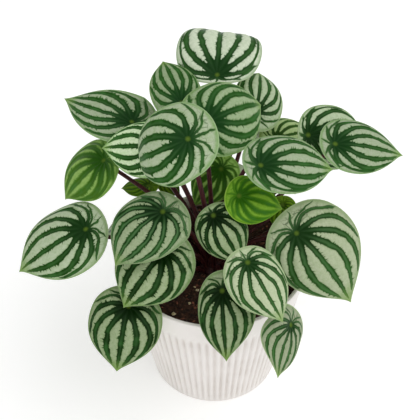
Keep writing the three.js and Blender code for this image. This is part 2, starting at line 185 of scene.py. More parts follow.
# One row for each leaf, as in the solids: where the stalk meets the blade in mm, the compass angle and the
# height angle that it faces, its turn from downhill and its length in mm. Then its tone, and how bright its
# silver is: painted light and shade for how that leaf is lit, with some of the leaf's own tone.
leafRows = [
    dict(at=(2, 86, 222), face=-98, lift=63, turn=-176, long=80, ripple=0, wide=1, droop=78, cup=27,
         curl=-60, fold=0.12, seat=0.13, out=0.5, root=90, tone="pale", light=1.38),
    dict(at=(-24, 52, 222), face=-80, lift=71, turn=-170, long=59, ripple=255, wide=0.78, slip=0.02,
         tone="fresh", light=0.81),
    dict(at=(-61, 55, 202), face=-32, lift=75, turn=-166, long=73, ripple=295, wide=0.89, droop=12,
         cup=-5, curl=10, slip=0.02, sway=0.06, tone="bold", light=0.94),
    dict(at=(-5, 32, 220), face=-75, lift=59, turn=105, long=69, ripple=320, wide=1.03, droop=50,
         tone="fresh", light=0.95),
    dict(at=(-18, -12, 241), face=-90, lift=56, turn=-77, long=69, ripple=295, wide=1.04, droop=105,
         cup=40, seat=-0.03, slip=-0.03, sway=0.05, reach=45, root=150, tone="bold", light=1.1),
    dict(at=(-38, 14, 211), face=-106, lift=63, turn=-82, long=59, ripple=170, wide=0.92, droop=25,
         tone="bold", light=1.75),
    dict(at=(-81, 30, 186), face=-151, lift=59, turn=-3, long=52, ripple=170, wide=1.25, droop=25, cup=15,
         seat=0.05, slip=-0.03, tone="grass", light=1.4),
    dict(at=(31, 71, 199), face=-59, lift=59, turn=143, long=57, ripple=280, wide=0.86, droop=40,
         slip=-0.02, light=1.1),
    dict(at=(47, 72, 172), face=-74, lift=61, turn=93, long=45, ripple=115, droop=40, tone="olive",
         light=1.2),
    dict(at=(31, -11, 217), face=-70, lift=71, turn=77, long=66, ripple=280, wide=0.9, seat=0.08,
         slip=0.04, via=(27, 34, 198), root=60, tone="bold"),
    dict(at=(68, 41, 201), face=-75, lift=56, turn=79, long=59, ripple=295, wide=1.05, droop=30, cup=30,
         seat=0.13, light=1.18),
    dict(at=(85, 20, 210), face=-70, lift=71, turn=67, long=61, ripple=190, wide=0.92, droop=15, cup=30,
         seat=0.08, slip=0.03, tone="bold"),
    dict(at=(58, -21, 162), face=-87, lift=49, turn=36, long=78, ripple=85, wide=1.06, cup=25, curl=20,
         seat=0.04, slip=0.05, sway=0.03, tone="frosted", light=0.94),
    dict(at=(22, -59, 172), face=-81, lift=66, turn=21, long=57, ripple=125, wide=0.88, droop=15,
         seat=0.07, slip=-0.02, out=0.3, via=(20, -56, 142), tone="frosted", light=1.12),
    dict(at=(52, -80, 132), face=-26, lift=31, turn=-66, long=51, ripple=40, wide=0.92, cup=30,
         slip=-0.03, sway=-0.1, tone="frosted", light=0.72),
    dict(at=(5, -64, 149), face=-112, lift=55, turn=21, long=62, ripple=170, wide=0.8, droop=15,
         seat=0.03, slip=0.055, tone="deep", light=1.03),
    dict(at=(-1, -9, 168), face=-87, lift=46, turn=29, long=47, ripple=190, wide=0.98, droop=15, seat=0.1,
         tone="deep", light=1.36),
    dict(at=(-36, -23, 185), face=-98, lift=61, turn=-36, long=64, ripple=285, wide=0.95, seat=0.05,
         slip=0.05, sway=-0.06, tone="frosted_deep", light=1.06),
    dict(at=(-36, -34, 157), face=-90, lift=61, turn=-36, long=66, ripple=285, wide=1.06, droop=25,
         tone="deep", light=1.14),
    dict(at=(-61, -58, 126), face=-97, lift=56, turn=-5, long=61, ripple=295, wide=1.12, seat=0.03,
         slip=-0.02, via=(-50, -43, 125), tone="deep", light=1.02),
    dict(at=(-92, -16, 161), face=-128, lift=69, turn=-28, long=73, ripple=260, wide=1.05, droop=15,
         seat=0.05, slip=-0.03, light=1.11),
    dict(at=(5, 40, 169), face=-97, lift=46, turn=-32, long=46, ripple=170, wide=0.92, reach=14, root=40,
         tone="grass", light=2.0),
    dict(at=(17, -8, 186), face=-75, lift=56, turn=64, long=42, ripple=140, wide=1.05, droop=25,
         seat=0.03, via=(16, 12, 163), root=20, tone="lime", light=1.1),
    dict(at=(-50, 38, 154), face=161, lift=83, turn=10, long=30, ripple=205, wide=0.92, droop=25,
         tone="sprout", light=1.15),
    dict(at=(-39, 54, 146), face=-45, lift=57, turn=11, long=24, ripple=115, wide=0.92, droop=25,
         tone="sprout", light=1.1),
    dict(at=(51, 19, 152), face=-107, lift=66, turn=9, long=29, ripple=345, wide=0.92, droop=25,
         tone="sprout", light=1.5),
    dict(at=(80, 32, 128), face=20, lift=45, turn=0, long=52, ripple=60, via=(62, 24, 128)),
    dict(at=(-60, 32, 132), face=160, lift=45, turn=0, long=55, ripple=150, via=(-46, 24, 126),
         tone="deep"),
    dict(at=(4, 84, 134), face=95, lift=35, turn=0, long=57, ripple=240),
    dict(at=(-35, 84, 151), face=105, lift=30, turn=18, long=62, ripple=330, tone="fresh"),
    dict(at=(17, 92, 170), face=79, lift=29, turn=-6, long=61, ripple=100),
    dict(at=(51, 75, 140), face=59, lift=28, turn=-15, long=53, ripple=200, tone="deep"),
    dict(at=(-76, 86, 185), face=134, lift=37, turn=-27, long=53, ripple=300),
    dict(at=(100, 70, 168), face=36, lift=35, turn=46, long=55, ripple=20, tone="fresh"),
    dict(at=(-20, 109, 186), face=98, lift=24, turn=4, long=55, ripple=120),
]
leaves = [{**usual, **row, "number": i + 1} for i, row in enumerate(leafRows)]
youngLeaves = (7, 22, 23, 24, 25, 26)  # small and green all over


def bezier(points, t):
    a, b, c, d = [np.array(p, float) for p in points]
    t = np.asarray(t)[..., None]
    return (1 - t) ** 3 * a + 3 * (1 - t) ** 2 * t * b + 3 * (1 - t) * t * t * c + t ** 3 * d


def unit(vectors):
    return vectors / np.maximum(np.linalg.norm(vectors, axis=-1, keepdims=True), 1e-9)


def makeOutline():
    # half the outline from the tip to the middle of the base, and how far along it each point is
    tip, base = (blade["tip"], 0), (-blade["base"], 0)
    widest = (blade["widestAt"], blade["halfWidth"])
    steps = np.linspace(0, 1, blade["outlineSteps"])
    front = bezier([tip, blade["tipPull"], (blade["frontPull"], widest[1]), widest], steps)
    back = bezier([widest, (blade["backPull"], widest[1]), (base[0], blade["basePull"]), base], steps)
    points = np.vstack([front, back[1:]])
    run = np.concatenate([[0], np.cumsum(np.linalg.norm(np.diff(points, axis=0), axis=1))])
    return points, run / run[-1]


outlinePoints, outlineRun = makeOutline()


def outlineAt(share):
    return np.stack([np.interp(share, outlineRun, outlinePoints[:, k]) for k in (0, 1)], -1)


def flatBlade(leaf, vein, fraction):
    # where a vein number and a fraction of the way to the margin lie on the flat blade
    share = np.abs(vein) / blade["veins"]
    hand = np.where(vein < 0, -1, 1)
    along = share ** 2
    edge = outlineAt(along) + np.array([leaf["seat"], 0.0])
    length = blade["tip"] + leaf["seat"]
    edge[..., 1] += hand * leaf["slip"] * (1 - np.clip(edge[..., 0] / length, 0, 1) ** 2)
    nudge = 0.01
    tangent = unit(outlineAt(np.maximum(along - nudge, 0)) - outlineAt(np.minimum(along + nudge, 1)))
    reach = np.linalg.norm(edge, axis=-1, keepdims=True)
    rise = np.minimum(share / blade["bowFrom"], 1)
    bow = (blade["bow"] * rise * (2 - rise) * (1 - share ** 3))[..., None]
    arrive = unit(unit(edge) * (1 - bow) + tangent * bow)
    start = np.pi * share ** 1.15  # the veins crowd a little towards the midrib as they leave
    leave = np.stack([np.cos(start), np.sin(start)], -1)
    pulls = [leave * reach * blade["leavePull"], edge - arrive * reach * blade["arrivePull"]]
    t = fraction[..., None]
    place = 3 * (1 - t) ** 2 * t * pulls[0] + 3 * (1 - t) * t * t * pulls[1] + t ** 3 * edge
    ahead = np.clip(place[..., 0] / length, 0, 1)
    return place[..., 0], hand * place[..., 1] + leaf["sway"] * 4 * ahead * (1 - ahead)


def veinSpacing(leaf, vein, fraction):
    # how far apart the veins lie at a point, square to them, in blade lengths
    step = 0.02
    low, high = np.maximum(vein - step, -blade["veins"]), np.minimum(vein + step, blade["veins"])
    near, far = np.maximum(fraction - step, 0), np.minimum(fraction + step, 1)
    left, right = [np.stack(flatBlade(leaf, v, fraction)) for v in (low, high)]
    across = (right - left) / (high - low)
    along = np.stack(flatBlade(leaf, vein, far)) - np.stack(flatBlade(leaf, vein, near))
    return np.abs(across[0] * along[1] - across[1] * along[0]) / np.maximum(np.hypot(*along), 1e-9)


def bend(distance, degrees, full, power):
    # how far along and down a strip that bends more and more has gone, and its angle there
    total = math.radians(degrees)
    steps = 12
    along = np.zeros_like(distance)
    drop = np.zeros_like(distance)
    for i in range(steps):
        angle = total * (distance * (i + 0.5) / steps / full) ** power
        along += np.cos(angle) * distance / steps
        drop += np.sin(angle) * distance / steps
    return along, drop, total * (distance / full) ** power


def leafAxes(leaf):
    # the blade's own directions: to its tip, to its side and the way it faces
    face, lift, turn = [math.radians(leaf[k]) for k in ("face", "lift", "turn")]
    facing = np.array([math.cos(lift) * math.cos(face), math.cos(lift) * math.sin(face), math.sin(lift)])
    downhill = np.array([math.sin(lift) * math.cos(face), math.sin(lift) * math.sin(face), -math.cos(lift)])
    tip = math.cos(turn) * downhill + math.sin(turn) * np.cross(facing, downhill)
    return tip, np.cross(facing, tip), facing


def bladePoints(leaf, vein, fraction, depth):
    # points of the real blade in mm, at a depth below its upper face
    x, y = flatBlade(leaf, vein, fraction)
    angle = np.arctan2(y, x)
    distance = np.hypot(x, y)
    y = y * leaf["wide"]
    front, back = np.maximum(x, 0), np.maximum(-x, 0)
    frontRun, frontDrop, frontAngle = bend(front, leaf["droop"], blade["tip"], blade["droopPower"])
    backRun, backDrop, backAngle = bend(back, leaf["curl"], blade["base"], blade["curlPower"])
    out, roll, rollAngle = bend(np.abs(y), leaf["cup"], blade["halfWidth"], blade["cupPower"])
    tilt = frontAngle - backAngle
    height = blade["dimple"] * (1 - np.exp(-(distance / blade["dimpleWidth"]) ** 2))
    height = height + leaf["fold"] * np.abs(y) * np.clip(x / blade["foldLength"], 0, 1)
    ripple = np.sin(3 * angle + math.radians(leaf["ripple"]))
    height = height + blade["wave"] * ripple * (distance / blade["waveReach"]) ** 2.5
    fading = np.clip((blade["quiltEnd"] - np.abs(vein)) / blade["quiltFade"], 0, 1)
    between = np.sin(np.pi * np.abs(vein)) ** 2 * fading
    height = height + blade["quilt"] * between * np.sin(np.pi * fraction ** 0.8)
    below = depth / leaf["long"]
    height = height - roll - np.cos(rollAngle) * below
    ahead = frontRun - backRun + np.sin(tilt) * height
    up = -(frontDrop + backDrop) + np.cos(tilt) * height
    sideways = np.sign(y) * (out - np.sin(rollAngle) * below)
    tip, side, facing = leafAxes(leaf)
    place = ahead[..., None] * tip + sideways[..., None] * side + up[..., None] * facing
    return np.array(leaf["at"], float) + leaf["long"] * place


def makeLeaf(leaf, upper, lower):
    # a closed blade with its veins and its flat shape stored as UV maps
    veins, rows = blade["veins"], blade["rows"]
    count = 2 * veins * blade["columnsPerVein"]
    vein = np.linspace(-veins, veins, count + 1)[:-1]
    fraction = np.arange(1, rows + 1) / rows
    veinGrid, fractionGrid = np.meshgrid(vein, fraction)
    thinning = (blade["thickness"] - blade["marginThickness"]) * fractionGrid ** 3
    centre = np.array([0.0])
    top = bladePoints(leaf, veinGrid, fractionGrid, 0.0)
    bottom = bladePoints(leaf, veinGrid, fractionGrid, blade["thickness"] - thinning)
    outward = unit(top[-1] - top[-2])
    edge = (top[-1] + bottom[-1]) / 2 + outward * blade["marginThickness"] * blade["marginRound"]
    parts = [bladePoints(leaf, centre, centre, 0.0), top.reshape(-1, 3), edge,
             bottom.reshape(-1, 3), bladePoints(leaf, centre, centre, blade["thickness"])]
    points = np.concatenate(parts) * millimetre
    topStart, edgeStart = 1, 1 + rows * count
    bottomStart = edgeStart + count
    last = len(points) - 1

    faces, kinds, corners = [], [], []  # corners hold each face corner's vein number and fraction

    def addFace(vertices, kind, places):
        faces.append(vertices)
        kinds.append(kind)
        corners.extend(places)

    for j in range(count):
        k = (j + 1) % count
        left, right = vein[j], vein[j] + 1 / blade["columnsPerVein"]
        fan = [((left + right) / 2, 0), (left, fraction[0]), (right, fraction[0])]
        addFace((0, topStart + j, topStart + k), 0, fan)
        addFace((last, bottomStart + k, bottomStart + j), 1, [fan[0], fan[2], fan[1]])
        for i in range(rows - 1):
            near, far = fraction[i], fraction[i + 1]
            square = [(left, near), (left, far), (right, far), (right, near)]
            a, b = topStart + i * count, topStart + (i + 1) * count
            addFace((a + j, b + j, b + k, a + k), 0, square)
            a, b = bottomStart + i * count, bottomStart + (i + 1) * count
            addFace((a + k, b + k, b + j, a + j), 1, square[::-1])
        a, b, c = topStart + (rows - 1) * count, edgeStart, bottomStart + (rows - 1) * count
        ends = [(left, 1), (left, 1), (right, 1), (right, 1)]
        addFace((a + j, b + j, b + k, a + k), 0, ends)
        addFace((b + j, c + j, c + k, b + k), 1, ends)

    name = f"blade_{leaf['number']:02d}"
    mesh = meshFrom(name, points, faces)
    mesh.materials.append(upper)
    mesh.materials.append(lower)
    mesh.polygons.foreach_set("material_index", kinds)
    corners = np.array(corners)
    flatX, flatY = flatBlade(leaf, corners[:, 0], corners[:, 1])
    flat = np.stack([flatX, flatY * leaf["wide"]], -1) * leaf["long"] / 10  # in centimetres
    for layer, places in {"veins": corners, "blade": flat}.items():
        mesh.uv_layers.new(name=layer).data.foreach_set("uv", places.astype(np.float32).ravel())

    radius = np.hypot(*flatBlade(leaf, vein, np.ones(count))) * leaf["long"]
    gap = ((1 - fraction)[:, None] * radius[None, :]).ravel()
    farInside = [20.0]
    spacing = veinSpacing(leaf, veinGrid, fractionGrid)
    attributes = {
        "marginGap": np.concatenate([farInside, gap, np.zeros(count), gap, farInside]),  # mm to the margin
        "veinSpacing": np.concatenate([[0.0], spacing.ravel(), spacing[-1], spacing.ravel(), [0.0]]),
        "leafSeed": np.full(len(points), leaf["number"] * 3.7),  # makes each leaf's pattern its own
        # the leaf's painted light and shade, as a brightness for its silver
        "leafLight": np.full(len(points), leaf["light"]),
    }
    for key, values in attributes.items():
        mesh.attributes.new(key, "FLOAT", "POINT").data.foreach_set("value", values.astype(np.float32))
    smooth(mesh)
    slot = "leaf_young" if leaf["number"] in youngLeaves else "leaf_striped"
    return finishPiece(newObject(name, mesh), slot, f"leaf_{leaf['number']:02d}")


# Leaf tones: silver is the blister between veins, moss where it thins out, band the dark green by the veins,
# deep the same in the star and along a band's edge. wide is half a dark band's width in blade lengths, teeth
# how far it frays, soft how blurred its edges are, star how far from the stalk, as a share of the way to the
# margin, the bands are broader, and the last how much of the paler vein, with a painted sheen, shows in a
# band's middle.
tones = {
    "silver": dict(silver="#aebc9e", moss="#7d9b64", band="#184006", deep="#0e3208", rim="#a3b78c",
                   wide=0.027, star=0.2, teeth=0.024, soft=0.0025, paleVeinAndSheen=0.19),
    "frosted": dict(silver="#b8c3a1", moss="#91a978", band="#1d440c", deep="#12340c", rim="#b2c596",
                    wide=0.026, star=0.16, teeth=0.022, soft=0.0025, paleVeinAndSheen=0.4),
    "pale": dict(silver="#b8c1ab", moss="#8da280", band="#1f4710", deep="#143a12", rim="#b6c6a0",
                 wide=0.026, star=0.18, teeth=0.026, soft=0.003, paleVeinAndSheen=0.2),
    "fresh": dict(silver="#a5b992", moss="#6f9450", band="#1d4a0c", deep="#123d12", rim="#9ab97e",
                  wide=0.031, star=0.28, teeth=0.032, soft=0.004, paleVeinAndSheen=0.18),
    "bold": dict(silver="#aab79a", moss="#769a5b", band="#1c480c", deep="#113810", rim="#9bb787",
                 wide=0.031, star=0.25, teeth=0.03, soft=0.0025, paleVeinAndSheen=0.22),
    # deep and frosted_deep: darker all over for the low leaves, painted shade with some of their own green
    "deep": dict(silver="#9cab86", moss="#6a874e", band="#0c2b01", deep="#062001", rim="#92a87a",
                 wide=0.03, star=0.24, teeth=0.028, soft=0.0025, paleVeinAndSheen=0.13),
    "frosted_deep": dict(silver="#9dac88", moss="#70895a", band="#16380e", deep="#0c2a0a", rim="#93a97e",
                         wide=0.03, star=0.2, teeth=0.026, soft=0.0025, paleVeinAndSheen=0.6),
    "grass": dict(silver="#7d9c52", moss="#5a8230", band="#426c16", deep="#28560c", rim="#8cb05c",
                  wide=0.042, star=0.22, teeth=0.02, soft=0.012, paleVeinAndSheen=0.1),
    "olive": dict(silver="#a0b580", moss="#75934e", band="#2c4c08", deep="#1f3f06", rim="#98b066",
                  wide=0.026, star=0.2, teeth=0.018, soft=0.004, paleVeinAndSheen=0.1),
    "lime": dict(silver="#7aa733", moss="#568a16", band="#3a7208", deep="#2d6206", rim="#98c04c",
                 wide=0.036, star=0.22, teeth=0.018, soft=0.02, paleVeinAndSheen=0.05),
    "sprout": dict(silver="#64861f", moss="#537510", band="#37590a", deep="#2c4c06", rim="#86a440",
                   wide=0.022, star=0.2, teeth=0.012, soft=0.02, paleVeinAndSheen=0.05),
}
# For each vein from the midrib to the base: its width as a share of the tone's and how far out it runs. The
# last veins, over the base, lie half as far apart.
veinBands = [(0, 1.0, 0.97), (1, 1.0, 0.96), (2, 1.0, 0.96), (3, 0.85, 0.96), (4, 0.55, 0.97),
             (4.5, 0.36, 0.96), (5, 0.42, 0.96)]
bladeFace = {
    "baseVeinsFrom": 3.75,
    # the star is this much broader than the bands, from this fraction outwards
    "starWidening": 1.8, "starFrom": 0.06,
    # a band thins out over the last part of its length, at first slowly
    "taperFrom": 0.72, "taperPower": 0.4,
    # teeth to a centimetre, how they slant, and their length on the two sides of a band
    "teethPerCentimetre": 11.0, "toothSlant": -45.0, "innerTooth": 0.9, "outerTooth": 1.5,
    # vein: the pale line along a band's middle, the vein's own paler green with a painted sheen
    "fadedBand": "#3f7a35", "vein": "#58824f", "tip": "#7d9f45", "dot": "#5f7a26",
    # one centimetre of blade holds as many lumps of each noise as its scale says
    "noises": {
        "slow": {"Scale": 1.6, "Detail": 1.0},
        "bend": {"Scale": 2.0, "Detail": 2.0},
        "cloud": {"Scale": 5.0, "Detail": 4.0, "Roughness": 0.65},
        "speck": {"Scale": 14.0, "Detail": 2.0},
        "cells": {"Scale": 26.0, "Detail": 1.0},
    },
}
# Each range says between which two values of a measure a strength goes from its first to its second value.
bladeRanges = {
    # noises
    "wander": (0.25, 0.75, -0.07, 0.07), "tooth": (0.45, 0.75, 0.0, 1.0), "cloud": (0.35, 0.7, 0.4, -0.2),
    "speck": (0.3, 0.7, 0.92, 1.06), "fade": (0.4, 0.65, 0.0, 0.35),
    # blade lengths from a vein's middle or from a band's edge
    "paleVeinAndSheen": (0.002, 0.02), "groove": (0.0, 0.006, -0.8, 0.0), "besideBand": (0.0, 0.014, 0.5, 0.0),
    "bandEdge": (-0.008, -0.001, 0.0, 0.55),
    # fractions of the way from the stalk's point to the margin
    "toTip": (0.1, 0.6, 0.0, 1.0), "leaving": (0.02, 0.25, 0.0, 1.0), "mossyMargin": (0.86, 1.0, 0.0, 0.8),
    "veinletEnd": (0.7, 0.97, 1.0, 0.0), "tip": (0.86, 0.98, 0.0, 1.0),
    # vein numbers
    "overBase": (3.3, 3.9, 0.0, 1.0), "midrib": (0.5, 1.3, 0.5, 0.0),
    # centimetres from a veinlet or from the stalk's point
    "veinlet": (0.01, 0.035, 0.65, 0.0), "dot": (0.04, 0.26, 0.75, 0.0),
    # millimetres from the margin
    "hem": (0.8, 2.2, 0.4, 0.0), "rim": (0.3, 0.65, 0.9, 0.0),
    # how rough silver and band are
    "gloss": (0.0, 1.0, 0.46, 0.34),
}


def readBlade(tree):
    # what the mesh says of each point of a blade, and the noises of its pattern
    at = {
        key: addNode(tree, "ShaderNodeAttribute", attribute_name=key).node.outputs["Fac"]
        for key in ("leafSeed", "leafLight", "marginGap", "veinSpacing")
    }
    at["place"] = addNode(tree, "ShaderNodeUVMap", uv_map="blade")
    reach = addNode(tree, "ShaderNodeVectorMath", [at["place"]], operation="LENGTH")
    at["reach"] = reach.node.outputs["Value"]
    veinMap = addNode(tree, "ShaderNodeUVMap", uv_map="veins")
    at["number"], at["fraction"] = addNode(tree, "ShaderNodeSeparateXYZ", [veinMap]).node.outputs[:2]
    for key, values in bladeFace["noises"].items():
        at[key] = addNode(tree, "ShaderNodeTexNoise", {"Vector": at["place"], "W": at["leafSeed"], **values},
                          noise_dimensions="4D")
    return at


def findVein(tree, at):
    # the vein number at a point, the nearest vein, how far away it is in blade lengths, and on which side
    wander = addNode(tree, "ShaderNodeMapRange", [at["slow"], *bladeRanges["wander"]])
    vein = addNode(tree, "ShaderNodeMath", [at["number"], wander], operation="ADD")
    vein = addNode(tree, "ShaderNodeMath", [vein], operation="ABSOLUTE")
    basal = addNode(tree, "ShaderNodeMath", [vein, bladeFace["baseVeinsFrom"]], operation="GREATER_THAN")
    step = addNode(tree, "ShaderNodeMath", [basal, -0.5, 1.0], operation="MULTIPLY_ADD")
    nearest = addNode(tree, "ShaderNodeMath", [step, 0.5, vein], operation="MULTIPLY_ADD")
    nearest = addNode(tree, "ShaderNodeMath", [nearest, step], operation="SNAP")
    nearest = addNode(tree, "ShaderNodeMath", [nearest, float(blade["veins"])], operation="MINIMUM")
    offset = addNode(tree, "ShaderNodeMath", [vein, nearest], operation="SUBTRACT")
    away = addNode(tree, "ShaderNodeMath", [offset], operation="ABSOLUTE")
    at["vein"], at["nearest"] = vein, nearest
    at["away"] = addNode(tree, "ShaderNodeMath", [away, at["veinSpacing"]], operation="MULTIPLY")
    at["outside"] = addNode(tree, "ShaderNodeMath", [offset, 0.0], operation="GREATER_THAN")


def readBands(tree, at):
    # the nearest vein's own width and length, kept in the red and green of a stepped ramp
    share = addNode(tree, "ShaderNodeMath", [at["nearest"], 1 / blade["veins"]], operation="MULTIPLY")
    stepped = addNode(tree, "ShaderNodeValToRGB", [share])
    ramp = stepped.node.color_ramp
    ramp.interpolation = "CONSTANT"
    ramp.elements.remove(ramp.elements[1])
    for order, width, end in veinBands:
        stop = ramp.elements.new((order - 0.2) / blade["veins"]) if order else ramp.elements[0]
        stop.color = (width, end, 0, 1)
    return addNode(tree, "ShaderNodeSeparateColor", [stepped]).node.outputs[:2]


def drawBands(tree, at, tone):
    # the dark bands: they flow together round the stalk's point and run out to points near the margin
    widthShare, bandEnd = readBands(tree, at)
    halfWidth = addNode(tree, "ShaderNodeMath", [widthShare, tone["wide"]], operation="MULTIPLY")
    starRange = [bladeFace["starFrom"], tone["star"], bladeFace["starWidening"], 1.0]
    star = addNode(tree, "ShaderNodeMapRange", [at["fraction"], *starRange], interpolation_type="SMOOTHSTEP")
    taperStart = addNode(tree, "ShaderNodeMath", [bandEnd, bladeFace["taperFrom"]], operation="MULTIPLY")
    taper = addNode(tree, "ShaderNodeMapRange", [at["fraction"], taperStart, bandEnd, 1.0, 0.0])
    taper = addNode(tree, "ShaderNodeMath", [taper, bladeFace["taperPower"]], operation="POWER")
    for factor in (star, taper):
        halfWidth = addNode(tree, "ShaderNodeMath", [halfWidth, factor], operation="MULTIPLY")

    # fine teeth stand out of each band, longer on the side away from the midrib
    slant = addNode(tree, "ShaderNodeMath", [at["away"], bladeFace["toothSlant"]], operation="MULTIPLY")
    along = addNode(tree, "ShaderNodeMath", [at["reach"], bladeFace["teethPerCentimetre"], slant],
                    operation="MULTIPLY_ADD")
    toothPlace = addNode(tree, "ShaderNodeCombineXYZ", [along, at["number"]])
    teeth = addNode(tree, "ShaderNodeTexNoise",
                    {"Vector": toothPlace, "W": at["leafSeed"], "Scale": 1.0, "Detail": 2.0},
                    noise_dimensions="4D")
    teeth = addNode(tree, "ShaderNodeMapRange", [teeth, *bladeRanges["tooth"]])
    teeth = addNode(tree, "ShaderNodeMath", [teeth, 2.0], operation="POWER")
    lengths = [bladeFace["innerTooth"] * tone["teeth"], bladeFace["outerTooth"] * tone["teeth"]]
    toothLength = addNode(tree, "ShaderNodeMapRange", [at["outside"], 0.0, 1.0, *lengths])
    for factor in (taper, widthShare):
        toothLength = addNode(tree, "ShaderNodeMath", [toothLength, factor], operation="MULTIPLY")
    halfWidth = addNode(tree, "ShaderNodeMath", [teeth, toothLength, halfWidth], operation="MULTIPLY_ADD")
    at["beside"] = addNode(tree, "ShaderNodeMath", [at["away"], halfWidth], operation="SUBTRACT")
    inner = addNode(tree, "ShaderNodeMath", [halfWidth, tone["soft"]], operation="SUBTRACT")
    outer = addNode(tree, "ShaderNodeMath", [halfWidth, tone["soft"]], operation="ADD")
    return addNode(tree, "ShaderNodeMapRange", [at["away"], inner, outer, 1.0, 0.0])


def drawVeinlets(tree, at):
    # thin veinlets branch over the base, meshes of about 10 mm
    bent = addNode(tree, "ShaderNodeVectorMath", [at["place"], at["bend"]], operation="ADD")
    meshes = addNode(tree, "ShaderNodeTexVoronoi", {"Vector": bent, "W": at["leafSeed"], "Scale": 1.0},
                     feature="DISTANCE_TO_EDGE", voronoi_dimensions="4D")
    veinlet = addNode(tree, "ShaderNodeMapRange", [meshes, *bladeRanges["veinlet"]])
    for measure, key in (("vein", "overBase"), ("fraction", "veinletEnd")):
        factor = addNode(tree, "ShaderNodeMapRange", [at[measure], *bladeRanges[key]])
        veinlet = addNode(tree, "ShaderNodeMath", [veinlet, factor], operation="MULTIPLY")
    return veinlet


def paintSilver(tree, at, tone):
    # silver: cloudy over 2 mm, specked over 1 mm, mossier beside the bands and towards the margin, and
    # brightened or darkened by each leaf's painted light and shade
    besideBand = addNode(tree, "ShaderNodeMapRange", [at["beside"], *bladeRanges["besideBand"]])
    margin = addNode(tree, "ShaderNodeMapRange", [at["fraction"], *bladeRanges["mossyMargin"]])
    moss = addNode(tree, "ShaderNodeMath", [besideBand, margin], operation="MAXIMUM")
    cloud = addNode(tree, "ShaderNodeMapRange", [at["cloud"], *bladeRanges["cloud"]])
    moss = addNode(tree, "ShaderNodeMath", [moss, cloud], operation="ADD", use_clamp=True)
    silver = addNode(tree, "ShaderNodeMix", {"Factor": moss, "A": toLinear(tone["silver"]),
                                             "B": toLinear(tone["moss"])}, data_type="RGBA")
    speck = addNode(tree, "ShaderNodeMapRange", [at["speck"], *bladeRanges["speck"]])
    # the leaf's painted light and shade, times its specks
    light = addNode(tree, "ShaderNodeMath", [at["leafLight"], speck], operation="MULTIPLY")
    return addNode(tree, "ShaderNodeVectorMath", {0: silver, "Scale": light}, operation="SCALE")


def paintBands(tree, at, tone):
    # bands: deeper in the star and along their edges, paler here and there, and paler along the vein itself,
    # where that pale line is also a painted sheen
    fade = addNode(tree, "ShaderNodeMapRange", [at["slow"], *bladeRanges["fade"]])
    fade = addNode(tree, "ShaderNodeMath", [fade, at["toTip"]], operation="MULTIPLY")
    # the pale line along a band's middle: the vein itself and a painted sheen
    paleVeinAndSheen = addNode(tree, "ShaderNodeMapRange", [at["away"], *bladeRanges["paleVeinAndSheen"], tone["paleVeinAndSheen"], 0.0],
                   interpolation_type="SMOOTHSTEP")
    leaving = addNode(tree, "ShaderNodeMapRange", [at["fraction"], *bladeRanges["leaving"]])
    paleVeinAndSheen = addNode(tree, "ShaderNodeMath", [paleVeinAndSheen, leaving], operation="MULTIPLY")
    edge = addNode(tree, "ShaderNodeMapRange", [at["beside"], *bladeRanges["bandEdge"]])
    colour = toLinear(tone["deep"])
    for factor, coat in ((at["toTip"], tone["band"]), (fade, bladeFace["fadedBand"]),
                         (paleVeinAndSheen, bladeFace["vein"]), (edge, tone["deep"])):
        colour = addNode(tree, "ShaderNodeMix", {"Factor": factor, "A": colour, "B": toLinear(coat)},
                         data_type="RGBA")
    return colour


def makeBladeFace(name, tone):
    # Living leaf, its wax bloom between the veins: satin silver blisters by darker, glossier green bands
    material, tree, shader = newMaterial(name, 0.42, 1.42)
    shader.inputs["Specular IOR Level"].default_value = 0.09
    at = readBlade(tree)
    findVein(tree, at)
    band = drawBands(tree, at, tone)
    band = addNode(tree, "ShaderNodeMath", [band, drawVeinlets(tree, at)], operation="MAXIMUM")
    at["toTip"] = addNode(tree, "ShaderNodeMapRange", [at["fraction"], *bladeRanges["toTip"]])
    silver, dark = paintSilver(tree, at, tone), paintBands(tree, at, tone)
    colour = addNode(tree, "ShaderNodeMix", {"Factor": band, "A": silver, "B": dark}, data_type="RGBA")

    # a duller hem inside a thin pale rim, a paler tip, and the olive dot over the stalk
    hem = addNode(tree, "ShaderNodeMapRange", [at["marginGap"], *bladeRanges["hem"]])
    rim = addNode(tree, "ShaderNodeMapRange", [at["marginGap"], *bladeRanges["rim"]])
    tip = addNode(tree, "ShaderNodeMapRange", [at["fraction"], *bladeRanges["tip"]])
    midrib = addNode(tree, "ShaderNodeMapRange", [at["vein"], *bladeRanges["midrib"]])
    tip = addNode(tree, "ShaderNodeMath", [tip, midrib], operation="MULTIPLY")
    dot = addNode(tree, "ShaderNodeMapRange", [at["reach"], *bladeRanges["dot"]],
                  interpolation_type="SMOOTHSTEP")
    for factor, coat in ((hem, tone["moss"]), (rim, tone["rim"]), (tip, bladeFace["tip"]),
                         (dot, bladeFace["dot"])):
        colour = addNode(tree, "ShaderNodeMix", {"Factor": factor, "A": colour, "B": toLinear(coat)},
                         data_type="RGBA")
    gloss = addNode(tree, "ShaderNodeMapRange", [band, *bladeRanges["gloss"]])
    tree.links.new(gloss, shader.inputs["Roughness"])

    # the skin's cells, a third of a millimetre, and the groove over each vein
    groove = addNode(tree, "ShaderNodeMapRange", [at["away"], *bladeRanges["groove"]])
    groove = addNode(tree, "ShaderNodeMath", [groove, at["toTip"]], operation="MULTIPLY")
    relief = addNode(tree, "ShaderNodeMath", [at["cells"], groove], operation="ADD")
    return finishMaterial(material, colour, relief, 0.35, 0.3 * millimetre)


bladeBack = {
    "grown": ("#91aa78", "#aec194"), "young": ("#86a553", "#a2bd6c"), "blush": "#8b5a52",
    "vein": (0.003, 0.011, 1.0, 0.0),  # from a vein's middle, in blade lengths
    "blushed": (0.0, 0.85, 0.75, 0.1),  # from the stalk's point to near the margin
}


